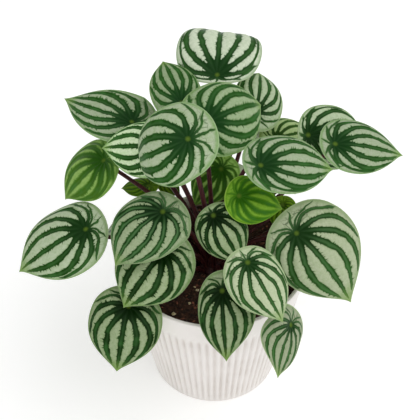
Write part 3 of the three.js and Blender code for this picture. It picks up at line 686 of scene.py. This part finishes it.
def makeBladeBack(name, colours):
    # The leaf's underside: matt pale green, its veins standing out and blushed red near the stalk
    material, tree, shader = newMaterial(name, 0.55, 1.42)
    veinMap = addNode(tree, "ShaderNodeUVMap", uv_map="veins")
    number, fraction = addNode(tree, "ShaderNodeSeparateXYZ", [veinMap]).node.outputs[:2]
    place = addNode(tree, "ShaderNodeUVMap", uv_map="blade")
    seed = addNode(tree, "ShaderNodeAttribute", attribute_name="leafSeed").node.outputs["Fac"]
    spacing = addNode(tree, "ShaderNodeAttribute", attribute_name="veinSpacing").node.outputs["Fac"]
    away = addNode(tree, "ShaderNodeMath", [number], operation="ROUND")
    away = addNode(tree, "ShaderNodeMath", [number, away], operation="SUBTRACT")
    away = addNode(tree, "ShaderNodeMath", [away], operation="ABSOLUTE")
    away = addNode(tree, "ShaderNodeMath", [away, spacing], operation="MULTIPLY")
    cloud = addNode(tree, "ShaderNodeTexNoise", {"Vector": place, "W": seed, "Scale": 3.0, "Detail": 3.0},
                    noise_dimensions="4D")
    skin = addNode(tree, "ShaderNodeMix", {"Factor": cloud, "A": toLinear(colours[0]),
                                           "B": toLinear(colours[1])}, data_type="RGBA")
    vein = addNode(tree, "ShaderNodeMapRange", [away, *bladeBack["vein"]])
    near = addNode(tree, "ShaderNodeMapRange", [fraction, *bladeBack["blushed"]])
    blush = addNode(tree, "ShaderNodeMath", [vein, near], operation="MULTIPLY")
    colour = addNode(tree, "ShaderNodeMix", {"Factor": blush, "A": skin, "B": toLinear(bladeBack["blush"])},
                     data_type="RGBA")
    return finishMaterial(material, colour, vein, 0.5, 0.4 * millimetre)


bladeFaces = {key: makeBladeFace(f"peperomia_blade_{key}", tone) for key, tone in tones.items()}
grownBack = makeBladeBack("peperomia_underside", bladeBack["grown"])
youngBack = makeBladeBack("peperomia_underside_young", bladeBack["young"])
for leaf in leaves:
    makeLeaf(leaf, bladeFaces[leaf["tone"]], youngBack if leaf["number"] in youngLeaves else grownBack)
print("leaves:", len(leaves))


# The stalks and the crown

stalks = {"startZ": 106, "outerRoot": 9.5, "innerRoot": 3, "lowBlade": 125, "highBlade": 245,
          "baseRadius": 2.0, "endRadius": 1.35, "flare": 1.9, "flareFrom": 0.9, "points": 28, "sides": 12,
          "riseShare": 0.5, "rise": 12, "gap": 0.75,
          "low": "#2e1013", "high": "#4c1c22", "blush": "#8a4a3e",
          "paling": (0.11, 0.24, 0.0, 1.0),  # the heights in metres over which the high colour takes over
          "streaked": (0.45, 0.75, 0.0, 0.3)}
crown = {"radius": 13.4, "foot": 87.4, "shoulder": 106, "top": 115, "sides": 48, "knobs": 0.06,
         "dome": [(0.92, 6), (0.7, 2.5), (0.35, 0.6)]}  # shares of the radius, and how far below the top


def stalkPath(leaf):
    x, y, z = leaf["at"]
    spread = math.atan2(y, x)
    root = spread if leaf["root"] is None else math.radians(leaf["root"])
    rank = min(max((z - stalks["lowBlade"]) / (stalks["highBlade"] - stalks["lowBlade"]), 0), 1)
    startRadius = stalks["outerRoot"] + (stalks["innerRoot"] - stalks["outerRoot"]) * rank
    start = np.array([startRadius * math.cos(root), startRadius * math.sin(root), stalks["startZ"]])
    lean = leaf["out"] * math.hypot(x, y)
    rise = stalks["riseShare"] * (z - stalks["startZ"]) + stalks["rise"]
    rising = start + np.array([lean * math.cos(spread), lean * math.sin(spread), rise])
    facing = leafAxes(leaf)[2]
    point = np.array([x, y, z], float)
    arriving = np.array(leaf["via"], float) if leaf["via"] else point - facing * leaf["reach"]
    # a stalk that comes in slantwise ends a little lower, so that its flare stays under the blade
    slant = np.linalg.norm(np.cross(unit(point - arriving), facing))
    end = point - facing * (stalks["gap"] + slant * stalks["flare"])
    return bezier([start, rising, arriving, end], np.linspace(0, 1, stalks["points"]))


def makeStalkTree(material):
    # sweeps a round section along every stalk, thinner or thicker with the curve's own radius
    tree, given = startTree("sweepStalks", {"Thickness": "Float", "Sides": "Int"})
    section = addNode(tree, "GeometryNodeCurvePrimitiveCircle",
                      {"Resolution": given["Sides"], "Radius": given["Thickness"]})
    sweep = {"Curve": given["Geometry"], "Profile Curve": section, "Fill Caps": True}
    curveToMesh = addNode(tree, "GeometryNodeCurveToMesh", sweep).node
    if "Scale" in curveToMesh.inputs:
        radius = addNode(tree, "GeometryNodeInputRadius")
        tree.links.new(radius, curveToMesh.inputs["Scale"])
    shaded = addNode(tree, "GeometryNodeSetShadeSmooth", {"Geometry": curveToMesh.outputs[0]})
    return endTree(tree, shaded, material)


def makeStalkMaterial():
    # Living stalk: smooth, juicy and dark wine red, paler towards the blade
    material, tree, shader = newMaterial("peperomia_stalk", 0.42, 1.42)
    shader.inputs["Specular IOR Level"].default_value = 0.25
    place = addNode(tree, "ShaderNodeTexCoord").node.outputs["Object"]
    height = addNode(tree, "ShaderNodeSeparateXYZ", [place]).node.outputs[2]
    drawnOut = addNode(tree, "ShaderNodeMapping", {"Vector": place, "Scale": (1.0, 1.0, 0.12)})
    streaks = addNode(tree, "ShaderNodeTexNoise", {"Vector": drawnOut, "Scale": 900.0, "Detail": 2.0})
    up = addNode(tree, "ShaderNodeMapRange", [height, *stalks["paling"]])
    blush = addNode(tree, "ShaderNodeMapRange", [streaks, *stalks["streaked"]])
    colour = toLinear(stalks["low"])
    for factor, coat in ((up, stalks["high"]), (blush, stalks["blush"])):
        colour = addNode(tree, "ShaderNodeMix", {"Factor": factor, "A": colour, "B": toLinear(coat)},
                         data_type="RGBA")
    return finishMaterial(material, colour, streaks, 0.2, 0.3 * millimetre)


def addCrown(mesh):
    # the crown is uneven, as the stubs of old stalks leave it
    shape = bmesh.new()
    shape.from_mesh(mesh)
    levels = [(crown["radius"], crown["foot"]), (crown["radius"], crown["shoulder"])]
    levels += [(share * crown["radius"], crown["top"] - below) for share, below in crown["dome"]]
    around = crown["sides"]
    rings = []
    for radius, z in levels:
        ring = []
        for i in range(around):
            angle = 2 * math.pi * i / around
            lumps = math.sin(7 * angle + 0.3 * z) * math.cos(3 * angle - 1)
            reach = radius * (1 - crown["knobs"] * (0.5 + 0.5 * lumps)) * millimetre
            ring.append(shape.verts.new((reach * math.cos(angle), reach * math.sin(angle), z * millimetre)))
        rings.append(ring)
    bottom = shape.verts.new((0, 0, crown["foot"] * millimetre))
    top = shape.verts.new((0, 0, crown["top"] * millimetre))
    for i in range(around):
        k = (i + 1) % around
        shape.faces.new((bottom, rings[0][k], rings[0][i]))
        shape.faces.new((top, rings[-1][i], rings[-1][k]))
        for low, high in zip(rings, rings[1:]):
            shape.faces.new((low[i], low[k], high[k], high[i]))
    shape.to_mesh(mesh)
    shape.free()


def makeStalks():
    curve = bpy.data.curves.new("stalks", "CURVE")
    curve.dimensions = "3D"
    share = np.linspace(0, 1, stalks["points"])
    radius = stalks["baseRadius"] + (stalks["endRadius"] - stalks["baseRadius"]) * share
    flaring = np.clip((share - stalks["flareFrom"]) / (1 - stalks["flareFrom"]), 0, 1) ** 2
    radius = radius + (stalks["flare"] - stalks["endRadius"]) * flaring
    for leaf in leaves:
        path = np.ones((stalks["points"], 4), np.float32)  # a spline's points end in a weight of 1
        path[:, :3] = stalkPath(leaf) * millimetre
        spline = curve.splines.new("POLY")
        spline.points.add(len(path) - 1)
        spline.points.foreach_set("co", path.ravel())
        spline.points.foreach_set("radius", radius.astype(np.float32))
    tree = makeStalkTree(makeStalkMaterial())
    piece = newObject("stalks", curve)
    addTree(piece, tree, {"Thickness": millimetre, "Sides": stalks["sides"]})
    piece = bakeModifiers(piece)
    addCrown(piece.data)
    smooth(piece.data)
    return finishPiece(piece, "leaf_stalk", "stems")


makeStalks()
print("stalks swept")


# The pot

pot = {
    "height": 117, "rimRadius": 70, "bodyTopRadius": 67.2, "footRadius": 50, "bandDepth": 20, "lip": 1.6,
    "innerTopRadius": 67.2, "innerFootRadius": 47.4, "floor": 4.6, "recess": 1.2,
    "recessOuter": 44, "recessInner": 14, "drains": 4, "drainRadius": 3.5, "drainReach": 30,
    "flutes": 70, "fluteDepth": 1.6, "flutePower": 1.6, "fade": 5, "flutesFrom": 3, "flutesFull": 7.5,
    "stepsPerFlute": 10, "wallRings": 26, "innerHeights": (116.1, 115, 112, 107, 90, 65, 35, 12, 6.4),
    "outerWall": 1.6,  # what lies this far inside the outer face, or nearer, belongs to it
    # above this height the inner wall takes a brown soil stain with painted shade
    "rimStainAndShadeFrom": 107.5,  # the height from which the inner wall is stained
}
# the grey in the flutes is painted shade with some dust; the brown inside the rim is soil stain and painted
# shade
potColours = {"white": "#ece7e3", "grey": "#e0dad5", "fluteShadeAndDust": "#c9c0b8", "rimStainAndShade": "#7d4f35"}
# Each range says between which two values of a measure a strength goes from its first to its second value.
potRanges = {
    # noises, and the wave round the pot that is -1 in the middle of a flute
    "patch": (0.4, 0.7, 0.0, 0.35), "fluteShadePatches": (0.35, 0.65, 0.25, 0.75), "inFlute": (0.1, -1.0, 0.0, 0.8),
    # heights, and the radius that parts the inner face of the rim from the outer, in metres
    "foot": (0.0, 0.012, 0.35, 0.0), "aboveFoot": (0.003, 0.008, 0.0, 1.0),
    "underBand": (0.089, 0.095, 1.0, 0.0), "rimStainAndShade": (0.108, 0.116, 0.8, 0.05),
    "inside": (0.0673, 0.068, 1.0, 0.0),
}


def innerWall(z):
    share = (z - pot["floor"]) / (pot["height"] - pot["floor"])
    return pot["innerFootRadius"] + (pot["innerTopRadius"] - pot["innerFootRadius"]) * share


def makePotTree(material):
    # presses the flutes into the outer wall: soft ridges that fade out under the plain band
    names = ("Flutes", "Flute power", "Flute depth", "Band bottom", "Fade", "Foot bottom", "Foot top",
             "Foot radius", "Top radius")
    tree, given = startTree("pressFlutes", {name: "Float" for name in names})
    place = addNode(tree, "GeometryNodeInputPosition")
    x, y, z = addNode(tree, "ShaderNodeSeparateXYZ", [place]).node.outputs
    angle = addNode(tree, "ShaderNodeMath", [y, x], operation="ARCTAN2")
    turns = addNode(tree, "ShaderNodeMath", [angle, given["Flutes"]], operation="MULTIPLY")
    wave = addNode(tree, "ShaderNodeMath", [turns], operation="COSINE")
    groove = addNode(tree, "ShaderNodeMapRange", [wave, -1.0, 1.0, 1.0, 0.0])
    depth = addNode(tree, "ShaderNodeMath", [groove, given["Flute power"]], operation="POWER")
    fadeEnd = addNode(tree, "ShaderNodeMath", [given["Band bottom"], given["Fade"]], operation="SUBTRACT")
    below = addNode(tree, "ShaderNodeMapRange", [z, fadeEnd, given["Band bottom"], 1.0, 0.0],
                    interpolation_type="SMOOTHSTEP")
    above = addNode(tree, "ShaderNodeMapRange", [z, given["Foot bottom"], given["Foot top"], 0.0, 1.0],
                    interpolation_type="SMOOTHSTEP")
    for factor in (below, above, given["Flute depth"]):
        depth = addNode(tree, "ShaderNodeMath", [depth, factor], operation="MULTIPLY")
    flat = addNode(tree, "ShaderNodeCombineXYZ", [x, y])
    radius = addNode(tree, "ShaderNodeVectorMath", [flat], operation="LENGTH")
    wall = addNode(tree, "ShaderNodeMapRange",
                   [z, 0.0, given["Band bottom"], given["Foot radius"], given["Top radius"]])
    outer = addNode(tree, "FunctionNodeCompare", {"A": radius, "B": wall}, operation="GREATER_THAN")
    direction = addNode(tree, "ShaderNodeVectorMath", [flat], operation="NORMALIZE")
    inwards = addNode(tree, "ShaderNodeMath", [depth, -1.0], operation="MULTIPLY")
    push = addNode(tree, "ShaderNodeVectorMath", {0: direction, "Scale": inwards}, operation="SCALE")
    pressed = addNode(tree, "GeometryNodeSetPosition",
                      {"Geometry": given["Geometry"], "Selection": outer, "Offset": push})
    return endTree(tree, pressed, material)


def makePotMaterial():
    # Injection-moulded polypropylene, white: a soft satin gloss, greyer in patches and at the foot, grey
    # painted shade with some dust in the flutes' hollows, and a brown line of soil stain and painted shade
    # inside the rim
    material, tree, _ = newMaterial("white_polypropylene", 0.33, 1.49)
    place = addNode(tree, "ShaderNodeTexCoord").node.outputs["Object"]
    x, y, height = addNode(tree, "ShaderNodeSeparateXYZ", [place]).node.outputs
    noise = addNode(tree, "ShaderNodeTexNoise", {"Vector": place, "Scale": 45.0, "Detail": 4.0})
    angle = addNode(tree, "ShaderNodeMath", [y, x], operation="ARCTAN2")
    turns = addNode(tree, "ShaderNodeMath", [angle, float(pot["flutes"])], operation="MULTIPLY")
    wave = addNode(tree, "ShaderNodeMath", [turns], operation="COSINE")
    flat = addNode(tree, "ShaderNodeVectorMath", [place, (1.0, 1.0, 0.0)], operation="MULTIPLY")
    radius = addNode(tree, "ShaderNodeVectorMath", [flat], operation="LENGTH").node.outputs["Value"]
    measures = {"patch": noise, "fluteShadePatches": noise, "inFlute": wave, "foot": height, "aboveFoot": height,
                "underBand": height, "rimStainAndShade": height, "inside": radius}
    share = {key: addNode(tree, "ShaderNodeMapRange", [measure, *potRanges[key]])
             for key, measure in measures.items()}
    grey = addNode(tree, "ShaderNodeMath", [share["patch"], share["foot"]], operation="ADD", use_clamp=True)
    # grey in the flutes: painted shade in their hollows, with some dust, in patches
    fluteShadeAndDust = share["inFlute"]
    for key in ("fluteShadePatches", "underBand", "aboveFoot"):
        fluteShadeAndDust = addNode(tree, "ShaderNodeMath", [fluteShadeAndDust, share[key]], operation="MULTIPLY")
    # a brown line inside the rim: soil stain together with painted shade, warmed by the soil
    rimStainAndShade = addNode(tree, "ShaderNodeMath", [height, pot["rimStainAndShadeFrom"] * millimetre],
                   operation="GREATER_THAN")
    for key in ("inside", "rimStainAndShade"):
        rimStainAndShade = addNode(tree, "ShaderNodeMath", [rimStainAndShade, share[key]], operation="MULTIPLY")
    colour = toLinear(potColours["white"])
    for factor, coat in ((grey, "grey"), (fluteShadeAndDust, "fluteShadeAndDust"), (rimStainAndShade, "rimStainAndShade")):
        colour = addNode(tree, "ShaderNodeMix", {"Factor": factor, "A": colour,
                                                 "B": toLinear(potColours[coat])}, data_type="RGBA")
    grain = addNode(tree, "ShaderNodeTexNoise", {"Vector": place, "Scale": 700.0, "Detail": 2.0})
    return finishMaterial(material, colour, grain, 0.06, 0.2 * millimetre)


def potProfile():
    # the wall from the middle of the underside out, up, over the rim, down inside and in to the middle
    bandZ = pot["height"] - pot["bandDepth"]
    floor, recess, rim, top = pot["floor"], pot["recess"], pot["rimRadius"], pot["height"]
    inner, outer = pot["recessInner"], pot["recessOuter"]
    lipZ = top - pot["lip"]
    middle, between = 4, 24  # rings that keep the faces of the underside and of the floor short
    chamfer = 0.3

    def bodyRadius(z):
        return pot["footRadius"] + (pot["bodyTopRadius"] - pot["footRadius"]) * z / bandZ

    underside = [(middle, 0), (inner - chamfer, 0), (inner, chamfer), (inner + chamfer, recess),
                 (between, recess), (outer - chamfer, recess), (outer, chamfer), (outer + 0.4, 0)]
    foot = [(pot["footRadius"] - inset, z) for inset, z in ((1.7, 0), (1.5, 0.2), (1.3, 0.9), (0.2, 1.4))]
    wallHeights = [1.9, *np.linspace(2.4, bandZ, pot["wallRings"])]
    wall = [(bodyRadius(z), z) for z in wallHeights]
    bandStart, bandEnd = (bodyRadius(bandZ), bandZ), (rim - 0.8, lipZ - 0.9)
    band = [tuple(a + (b - a) * share for a, b in zip(bandStart, bandEnd))
            for share in (0.2, 0.4, 0.6, 0.8, 0.95, 1.0)]
    lip = [(rim - 0.72, lipZ - 0.45), (rim - 0.25, lipZ - 0.1), (rim, lipZ + 0.35), (rim, top - 0.7),
           (rim - 0.25, top - 0.2), (rim - 0.8, top), (rim - 1.8, top), (rim - 2.4, top - 0.2)]
    inside = [(innerWall(z), z) for z in pot["innerHeights"]]
    inside += [(innerWall(5.2) - 1.2, 4.9), (innerWall(floor) - 3, floor), (between, floor), (middle, floor)]
    return underside + foot + wall + band + lip + inside


def makeDrill():
    drill = bmesh.new()
    radius = pot["drainRadius"] * millimetre
    reach = pot["drainReach"] * millimetre
    for i in range(pot["drains"]):
        angle = 2 * math.pi * (i + 0.5) / pot["drains"]
        made = bmesh.ops.create_cone(drill, cap_ends=True, segments=32, radius1=radius, radius2=radius,
                                     depth=0.02)
        centre = (reach * math.cos(angle), reach * math.sin(angle), 0.003)
        bmesh.ops.translate(drill, verts=made["verts"], vec=centre)
    return newObject("drill", meshFromShape("drill", drill))


def makePot():
    around = pot["flutes"] * pot["stepsPerFlute"]
    angles = np.linspace(0, 2 * math.pi, around, endpoint=False)
    shape = bmesh.new()
    rings = []
    for radius, z in potProfile():
        reach = radius * millimetre
        rings.append([shape.verts.new((reach * math.cos(a), reach * math.sin(a), z * millimetre))
                      for a in angles])
    for low, high in zip(rings, rings[1:]):
        for i in range(around):
            k = (i + 1) % around
            shape.faces.new((low[i], low[k], high[k], high[i]))
    shape.faces.new(list(reversed(rings[0])))
    shape.faces.new(rings[-1])
    piece = newObject("pot_shell", meshFromShape("pot_shell", shape))

    # the drain holes are bored through the floor, then the flutes are pressed in
    drill = makeDrill()
    bore = piece.modifiers.new("drains", "BOOLEAN")
    bore.operation = "DIFFERENCE"
    bore.solver = "EXACT"
    bore.object = drill
    addTree(piece, makePotTree(makePotMaterial()), {
        "Flutes": float(pot["flutes"]),
        "Flute power": pot["flutePower"],
        "Flute depth": pot["fluteDepth"] * millimetre,
        "Band bottom": (pot["height"] - pot["bandDepth"]) * millimetre,
        "Fade": pot["fade"] * millimetre,
        "Foot bottom": pot["flutesFrom"] * millimetre,
        "Foot top": pot["flutesFull"] * millimetre,
        "Foot radius": (pot["footRadius"] - pot["outerWall"]) * millimetre,
        "Top radius": (pot["bodyTopRadius"] - pot["outerWall"]) * millimetre,
    })
    bakeModifiers(piece)
    bpy.data.objects.remove(drill)
    smooth(piece.data)
    return finishPiece(piece, "pot_white", "pot")


makePot()
print("pot pressed")


# The soil, with its crumbs, bark chips and perlite

soil = {
    "level": 108, "swell": 2.2, "lump": 0.9, "holeRadius": 13.8, "holeFloor": 87, "holeLip": 6,
    "gap": 0.4, "clearance": 0.3, "edge": 1.5, "around": 220, "rings": 56,
    "dark": "#160d09", "light": "#4e3022",
    "clods": (0.35, 0.72, 0.0, 1.0), "patches": (0.38, 0.66, 0.0, 1.0),  # the noises' ranges
    "toppedFrom": 15.5, "toppedTo": 64.5,  # the radii between which the toppings lie
}
toppings = {
    # how many to a square metre, smallest and largest size in mm, the shape's three widths, and the
    # finish's name, light and dark colour, roughness and how many patches it has to a metre
    "crumb": {"density": 210000, "size": (0.9, 2.6), "shape": (1.0, 0.85, 0.7), "seed": 4,
              "finish": ("compost_crumb", "#4b3023", "#20140e", 0.9, 300.0)},
    "bark": {"density": 26000, "size": (2.2, 5.0), "shape": (1.0, 0.55, 0.3), "seed": 11,
             "finish": ("composted_bark", "#8a5440", "#4a281d", 0.8, 400.0)},
    "perlite": {"density": 3200, "size": (2.0, 4.4), "shape": (1.0, 0.9, 0.8), "seed": 23,
                "finish": ("expanded_perlite", "#dccfb2", "#b5a17c", 0.85, 500.0)},
}


def soilHeight(x, y):
    # the surface swells to the middle and is lumpy, over a few centimetres and over a few millimetres
    reach = np.hypot(x, y) / pot["innerTopRadius"]
    lumps = np.sin(0.41 * x + 0.7) * np.cos(0.37 * y - 0.4) + 0.6 * np.sin(0.23 * x - 0.52 * y)
    fine = 0.35 * np.sin(1.9 * x + 0.6 * y) * np.sin(1.7 * y - 0.5 * x + 1)
    fine = fine + 0.2 * np.sin(3.1 * x - 2.7 * y)
    inside = np.clip(4 * (1 - reach), 0, 1)
    return soil["level"] + soil["swell"] * (1 - reach ** 2) + (soil["lump"] * lumps + fine) * inside


def makeSoilMaterial():
    # Damp peat compost: almost black brown, matt, with lighter fibres and crumbs under a millimetre
    material, tree, _ = newMaterial("peat_compost", 0.92, 1.35)
    place = addNode(tree, "ShaderNodeTexCoord").node.outputs["Object"]
    clods = addNode(tree, "ShaderNodeTexNoise",
                    {"Vector": place, "Scale": 260.0, "Detail": 6.0, "Roughness": 0.7})
    shade = addNode(tree, "ShaderNodeMapRange", [clods, *soil["clods"]])
    colour = addNode(tree, "ShaderNodeMix", {"Factor": shade, "A": toLinear(soil["dark"]),
                                             "B": toLinear(soil["light"])}, data_type="RGBA")
    grit = addNode(tree, "ShaderNodeTexVoronoi", {"Vector": place, "Scale": 700.0})
    relief = addNode(tree, "ShaderNodeMath", [clods, grit], operation="ADD")
    return finishMaterial(material, colour, relief, 0.8, 0.8 * millimetre)


def makeToppingMaterial(name, light, dark, roughness, scale):
    # Soil toppings: crushed bark, compost crumbs or expanded perlite, each a dull broken surface
    material, tree, _ = newMaterial(name, roughness, 1.4)
    place = addNode(tree, "ShaderNodeTexCoord").node.outputs["Object"]
    patch = addNode(tree, "ShaderNodeTexNoise", {"Vector": place, "Scale": scale, "Detail": 3.0})
    shade = addNode(tree, "ShaderNodeMapRange", [patch, *soil["patches"]])
    colour = addNode(tree, "ShaderNodeMix", {"Factor": shade, "A": toLinear(dark), "B": toLinear(light)},
                     data_type="RGBA")
    grain = addNode(tree, "ShaderNodeTexNoise", {"Vector": place, "Scale": 1800.0, "Detail": 2.0})
    return finishMaterial(material, colour, grain, 0.5, 0.3 * millimetre)


def makeSoil():
    # a closed bed: its underside, its side along the pot's wall, its surface and the hole for the crown
    around, hole, level = soil["around"], soil["holeRadius"], soil["level"]
    angles = np.linspace(0, 2 * math.pi, around, endpoint=False)
    floorZ = pot["floor"] + soil["clearance"]
    lowRadius, highRadius = innerWall(floorZ) - soil["gap"], innerWall(level) - soil["gap"]
    levels = [(lowRadius - soil["edge"], floorZ), (lowRadius, floorZ + soil["edge"]), (highRadius, level)]
    rings = [(radius, np.full(around, float(z))) for radius, z in levels]
    for radius in np.linspace(highRadius - 0.6, hole, soil["rings"]):
        rings.append((radius, soilHeight(radius * np.cos(angles), radius * np.sin(angles))))
    rings += [(hole, np.full(around, float(z))) for z in (level - soil["holeLip"], soil["holeFloor"])]
    points = [(radius * math.cos(a), radius * math.sin(a), z) for radius, ring in rings
              for a, z in zip(angles, ring)]
    faces = []
    for start in range(0, (len(rings) - 1) * around, around):
        for j in range(around):
            k = (j + 1) % around
            faces.append((start + j, start + k, start + around + k, start + around + j))
    faces.append(tuple(reversed(range(around))))
    faces.append(tuple((len(rings) - 1) * around + j for j in range(around)))
    mesh = meshFrom("soil_bed", np.array(points) * millimetre, faces)
    mesh.materials.append(makeSoilMaterial())
    smooth(mesh)
    return finishPiece(newObject("soil_bed", mesh), "potting_soil", "soil")


def makeLump(name, widths):
    # one broken lump, a few dozen faces, a metre across before it is scaled
    lump = bmesh.new()
    bmesh.ops.create_icosphere(lump, subdivisions=2, radius=0.5)
    for vertex in lump.verts:
        x, y, z = vertex.co
        rough = 1 + 0.16 * math.sin(9 * x + 4 * y) + 0.14 * math.cos(8 * z - 5 * x)
        vertex.co = (x * rough * widths[0], y * rough * widths[1], z * rough * widths[2])
    return newObject(name, meshFromShape(name, lump))


def makeScatterTree():
    # strews one kind of lump over the open soil, each turned and sized at random
    tree, given = startTree("strewTopping", {
        "Lump": "Object", "Density": "Float", "Smallest": "Float", "Largest": "Float",
        "Inner radius": "Float", "Outer radius": "Float", "Seed": "Int", "Tumble": "Float",
        "Finish": "Material",
    })
    place = addNode(tree, "GeometryNodeInputPosition")
    x, y, _ = addNode(tree, "ShaderNodeSeparateXYZ", [place]).node.outputs
    flat = addNode(tree, "ShaderNodeCombineXYZ", [x, y])
    radius = addNode(tree, "ShaderNodeVectorMath", [flat], operation="LENGTH").node.outputs["Value"]
    normal = addNode(tree, "GeometryNodeInputNormal")
    upward = addNode(tree, "ShaderNodeSeparateXYZ", [normal]).node.outputs[2]
    chosen = addNode(tree, "FunctionNodeCompare", {"A": upward, "B": 0.5}, operation="GREATER_THAN")
    for side, limit in (("GREATER_THAN", "Inner radius"), ("LESS_THAN", "Outer radius")):
        met = addNode(tree, "FunctionNodeCompare", {"A": radius, "B": given[limit]}, operation=side)
        chosen = addNode(tree, "FunctionNodeBooleanMath", [chosen, met], operation="AND")
    scattered = addNode(tree, "GeometryNodeDistributePointsOnFaces",
                        {"Mesh": given["Geometry"], "Selection": chosen, "Density": given["Density"],
                         "Seed": given["Seed"]})
    lump = addNode(tree, "GeometryNodeObjectInfo", {"Object": given["Lump"]}).node.outputs["Geometry"]
    back = addNode(tree, "ShaderNodeMath", [given["Tumble"], -1.0], operation="MULTIPLY")
    low = addNode(tree, "ShaderNodeCombineXYZ", [back, back, 0.0])
    high = addNode(tree, "ShaderNodeCombineXYZ", [given["Tumble"], given["Tumble"], 2 * math.pi])
    turn = addNode(tree, "FunctionNodeRandomValue", {"Min": low, "Max": high, "Seed": given["Seed"]},
                   data_type="FLOAT_VECTOR")
    size = addNode(tree, "FunctionNodeRandomValue",
                   {"Min": given["Smallest"], "Max": given["Largest"], "Seed": given["Seed"]},
                   data_type="FLOAT")
    strewn = addNode(tree, "GeometryNodeInstanceOnPoints",
                     {"Points": scattered, "Instance": lump, "Rotation": turn, "Scale": size})
    return endTree(tree, strewn, given["Finish"])


def strewTopping(name, values, surface, tree):
    material = makeToppingMaterial(*values["finish"])
    lump = makeLump(f"{name}_lump", values["shape"])
    piece = newObject(f"soil_{name}", surface.data.copy())
    addTree(piece, tree, {
        "Lump": lump,
        "Density": float(values["density"]),
        "Smallest": values["size"][0] * millimetre,
        "Largest": values["size"][1] * millimetre,
        "Inner radius": soil["toppedFrom"] * millimetre,
        "Outer radius": soil["toppedTo"] * millimetre,
        "Seed": values["seed"],
        "Tumble": 0.5,  # how far a lump may lean, in radians
        "Finish": material,
    })
    bakeModifiers(piece)
    bpy.data.objects.remove(lump)
    return finishPiece(piece, "potting_soil")


soilBed = makeSoil()
scatterTree = makeScatterTree()
for name, values in toppings.items():
    strewTopping(name, values, soilBed, scatterTree)
print("soil strewn")


# The floor, the light and the camera

studio = {
    "floorReach": 8, "floorGlow": 0.26, "skyLight": 0.58,
    # each sun's strength, width, tilt and turn, the last three in degrees
    "suns": {"key_light": (1.0, 75, 32, 82), "front_light": (0.38, 60, 50, 0)},
    "lens": 85, "sensor": 36, "cameraPlace": (-0.0034, -0.5189, 0.6589), "cameraHeightAngle": 43.6,
}


def makeStudio():
    reach = studio["floorReach"]
    corners = [(-reach, -reach, 0), (reach, -reach, 0), (reach, reach, 0), (-reach, reach, 0)]
    floor = newObject("floor", meshFrom("floor", corners, [(0, 1, 2, 3)]))
    # a white acrylic light table: it glows a little itself, which thins the shadows on it
    material, _, shader = newMaterial("white_acrylic", 0.9)
    shader.inputs["Base Color"].default_value = toLinear("#f7f7f7")
    shader.inputs["Specular IOR Level"].default_value = 0.0
    shader.inputs["Emission Color"].default_value = (1, 1, 1, 1)
    shader.inputs["Emission Strength"].default_value = studio["floorGlow"]
    floor.data.materials.append(material)

    world = bpy.data.worlds.new("studio")
    world.use_nodes = True
    background = world.node_tree.nodes["Background"]
    background.inputs["Color"].default_value = (1, 1, 1, 1)
    background.inputs["Strength"].default_value = studio["skyLight"]
    bpy.context.scene.world = world

    for name, (strength, width, tilt, turn) in studio["suns"].items():
        lamp = bpy.data.lights.new(name, "SUN")
        lamp.energy = strength
        lamp.angle = math.radians(width)
        newObject(name, lamp).rotation_euler = (math.radians(tilt), 0, math.radians(turn))

    camera = bpy.data.cameras.new("camera")
    camera.lens = studio["lens"]
    camera.sensor_width = studio["sensor"]
    view = newObject("camera", camera)
    view.location = studio["cameraPlace"]
    view.rotation_euler = (math.radians(90 - studio["cameraHeightAngle"]), 0, 0)
    bpy.context.scene.camera = view
    bpy.context.scene.view_settings.view_transform = "Standard"


makeStudio()
print("studio lit")
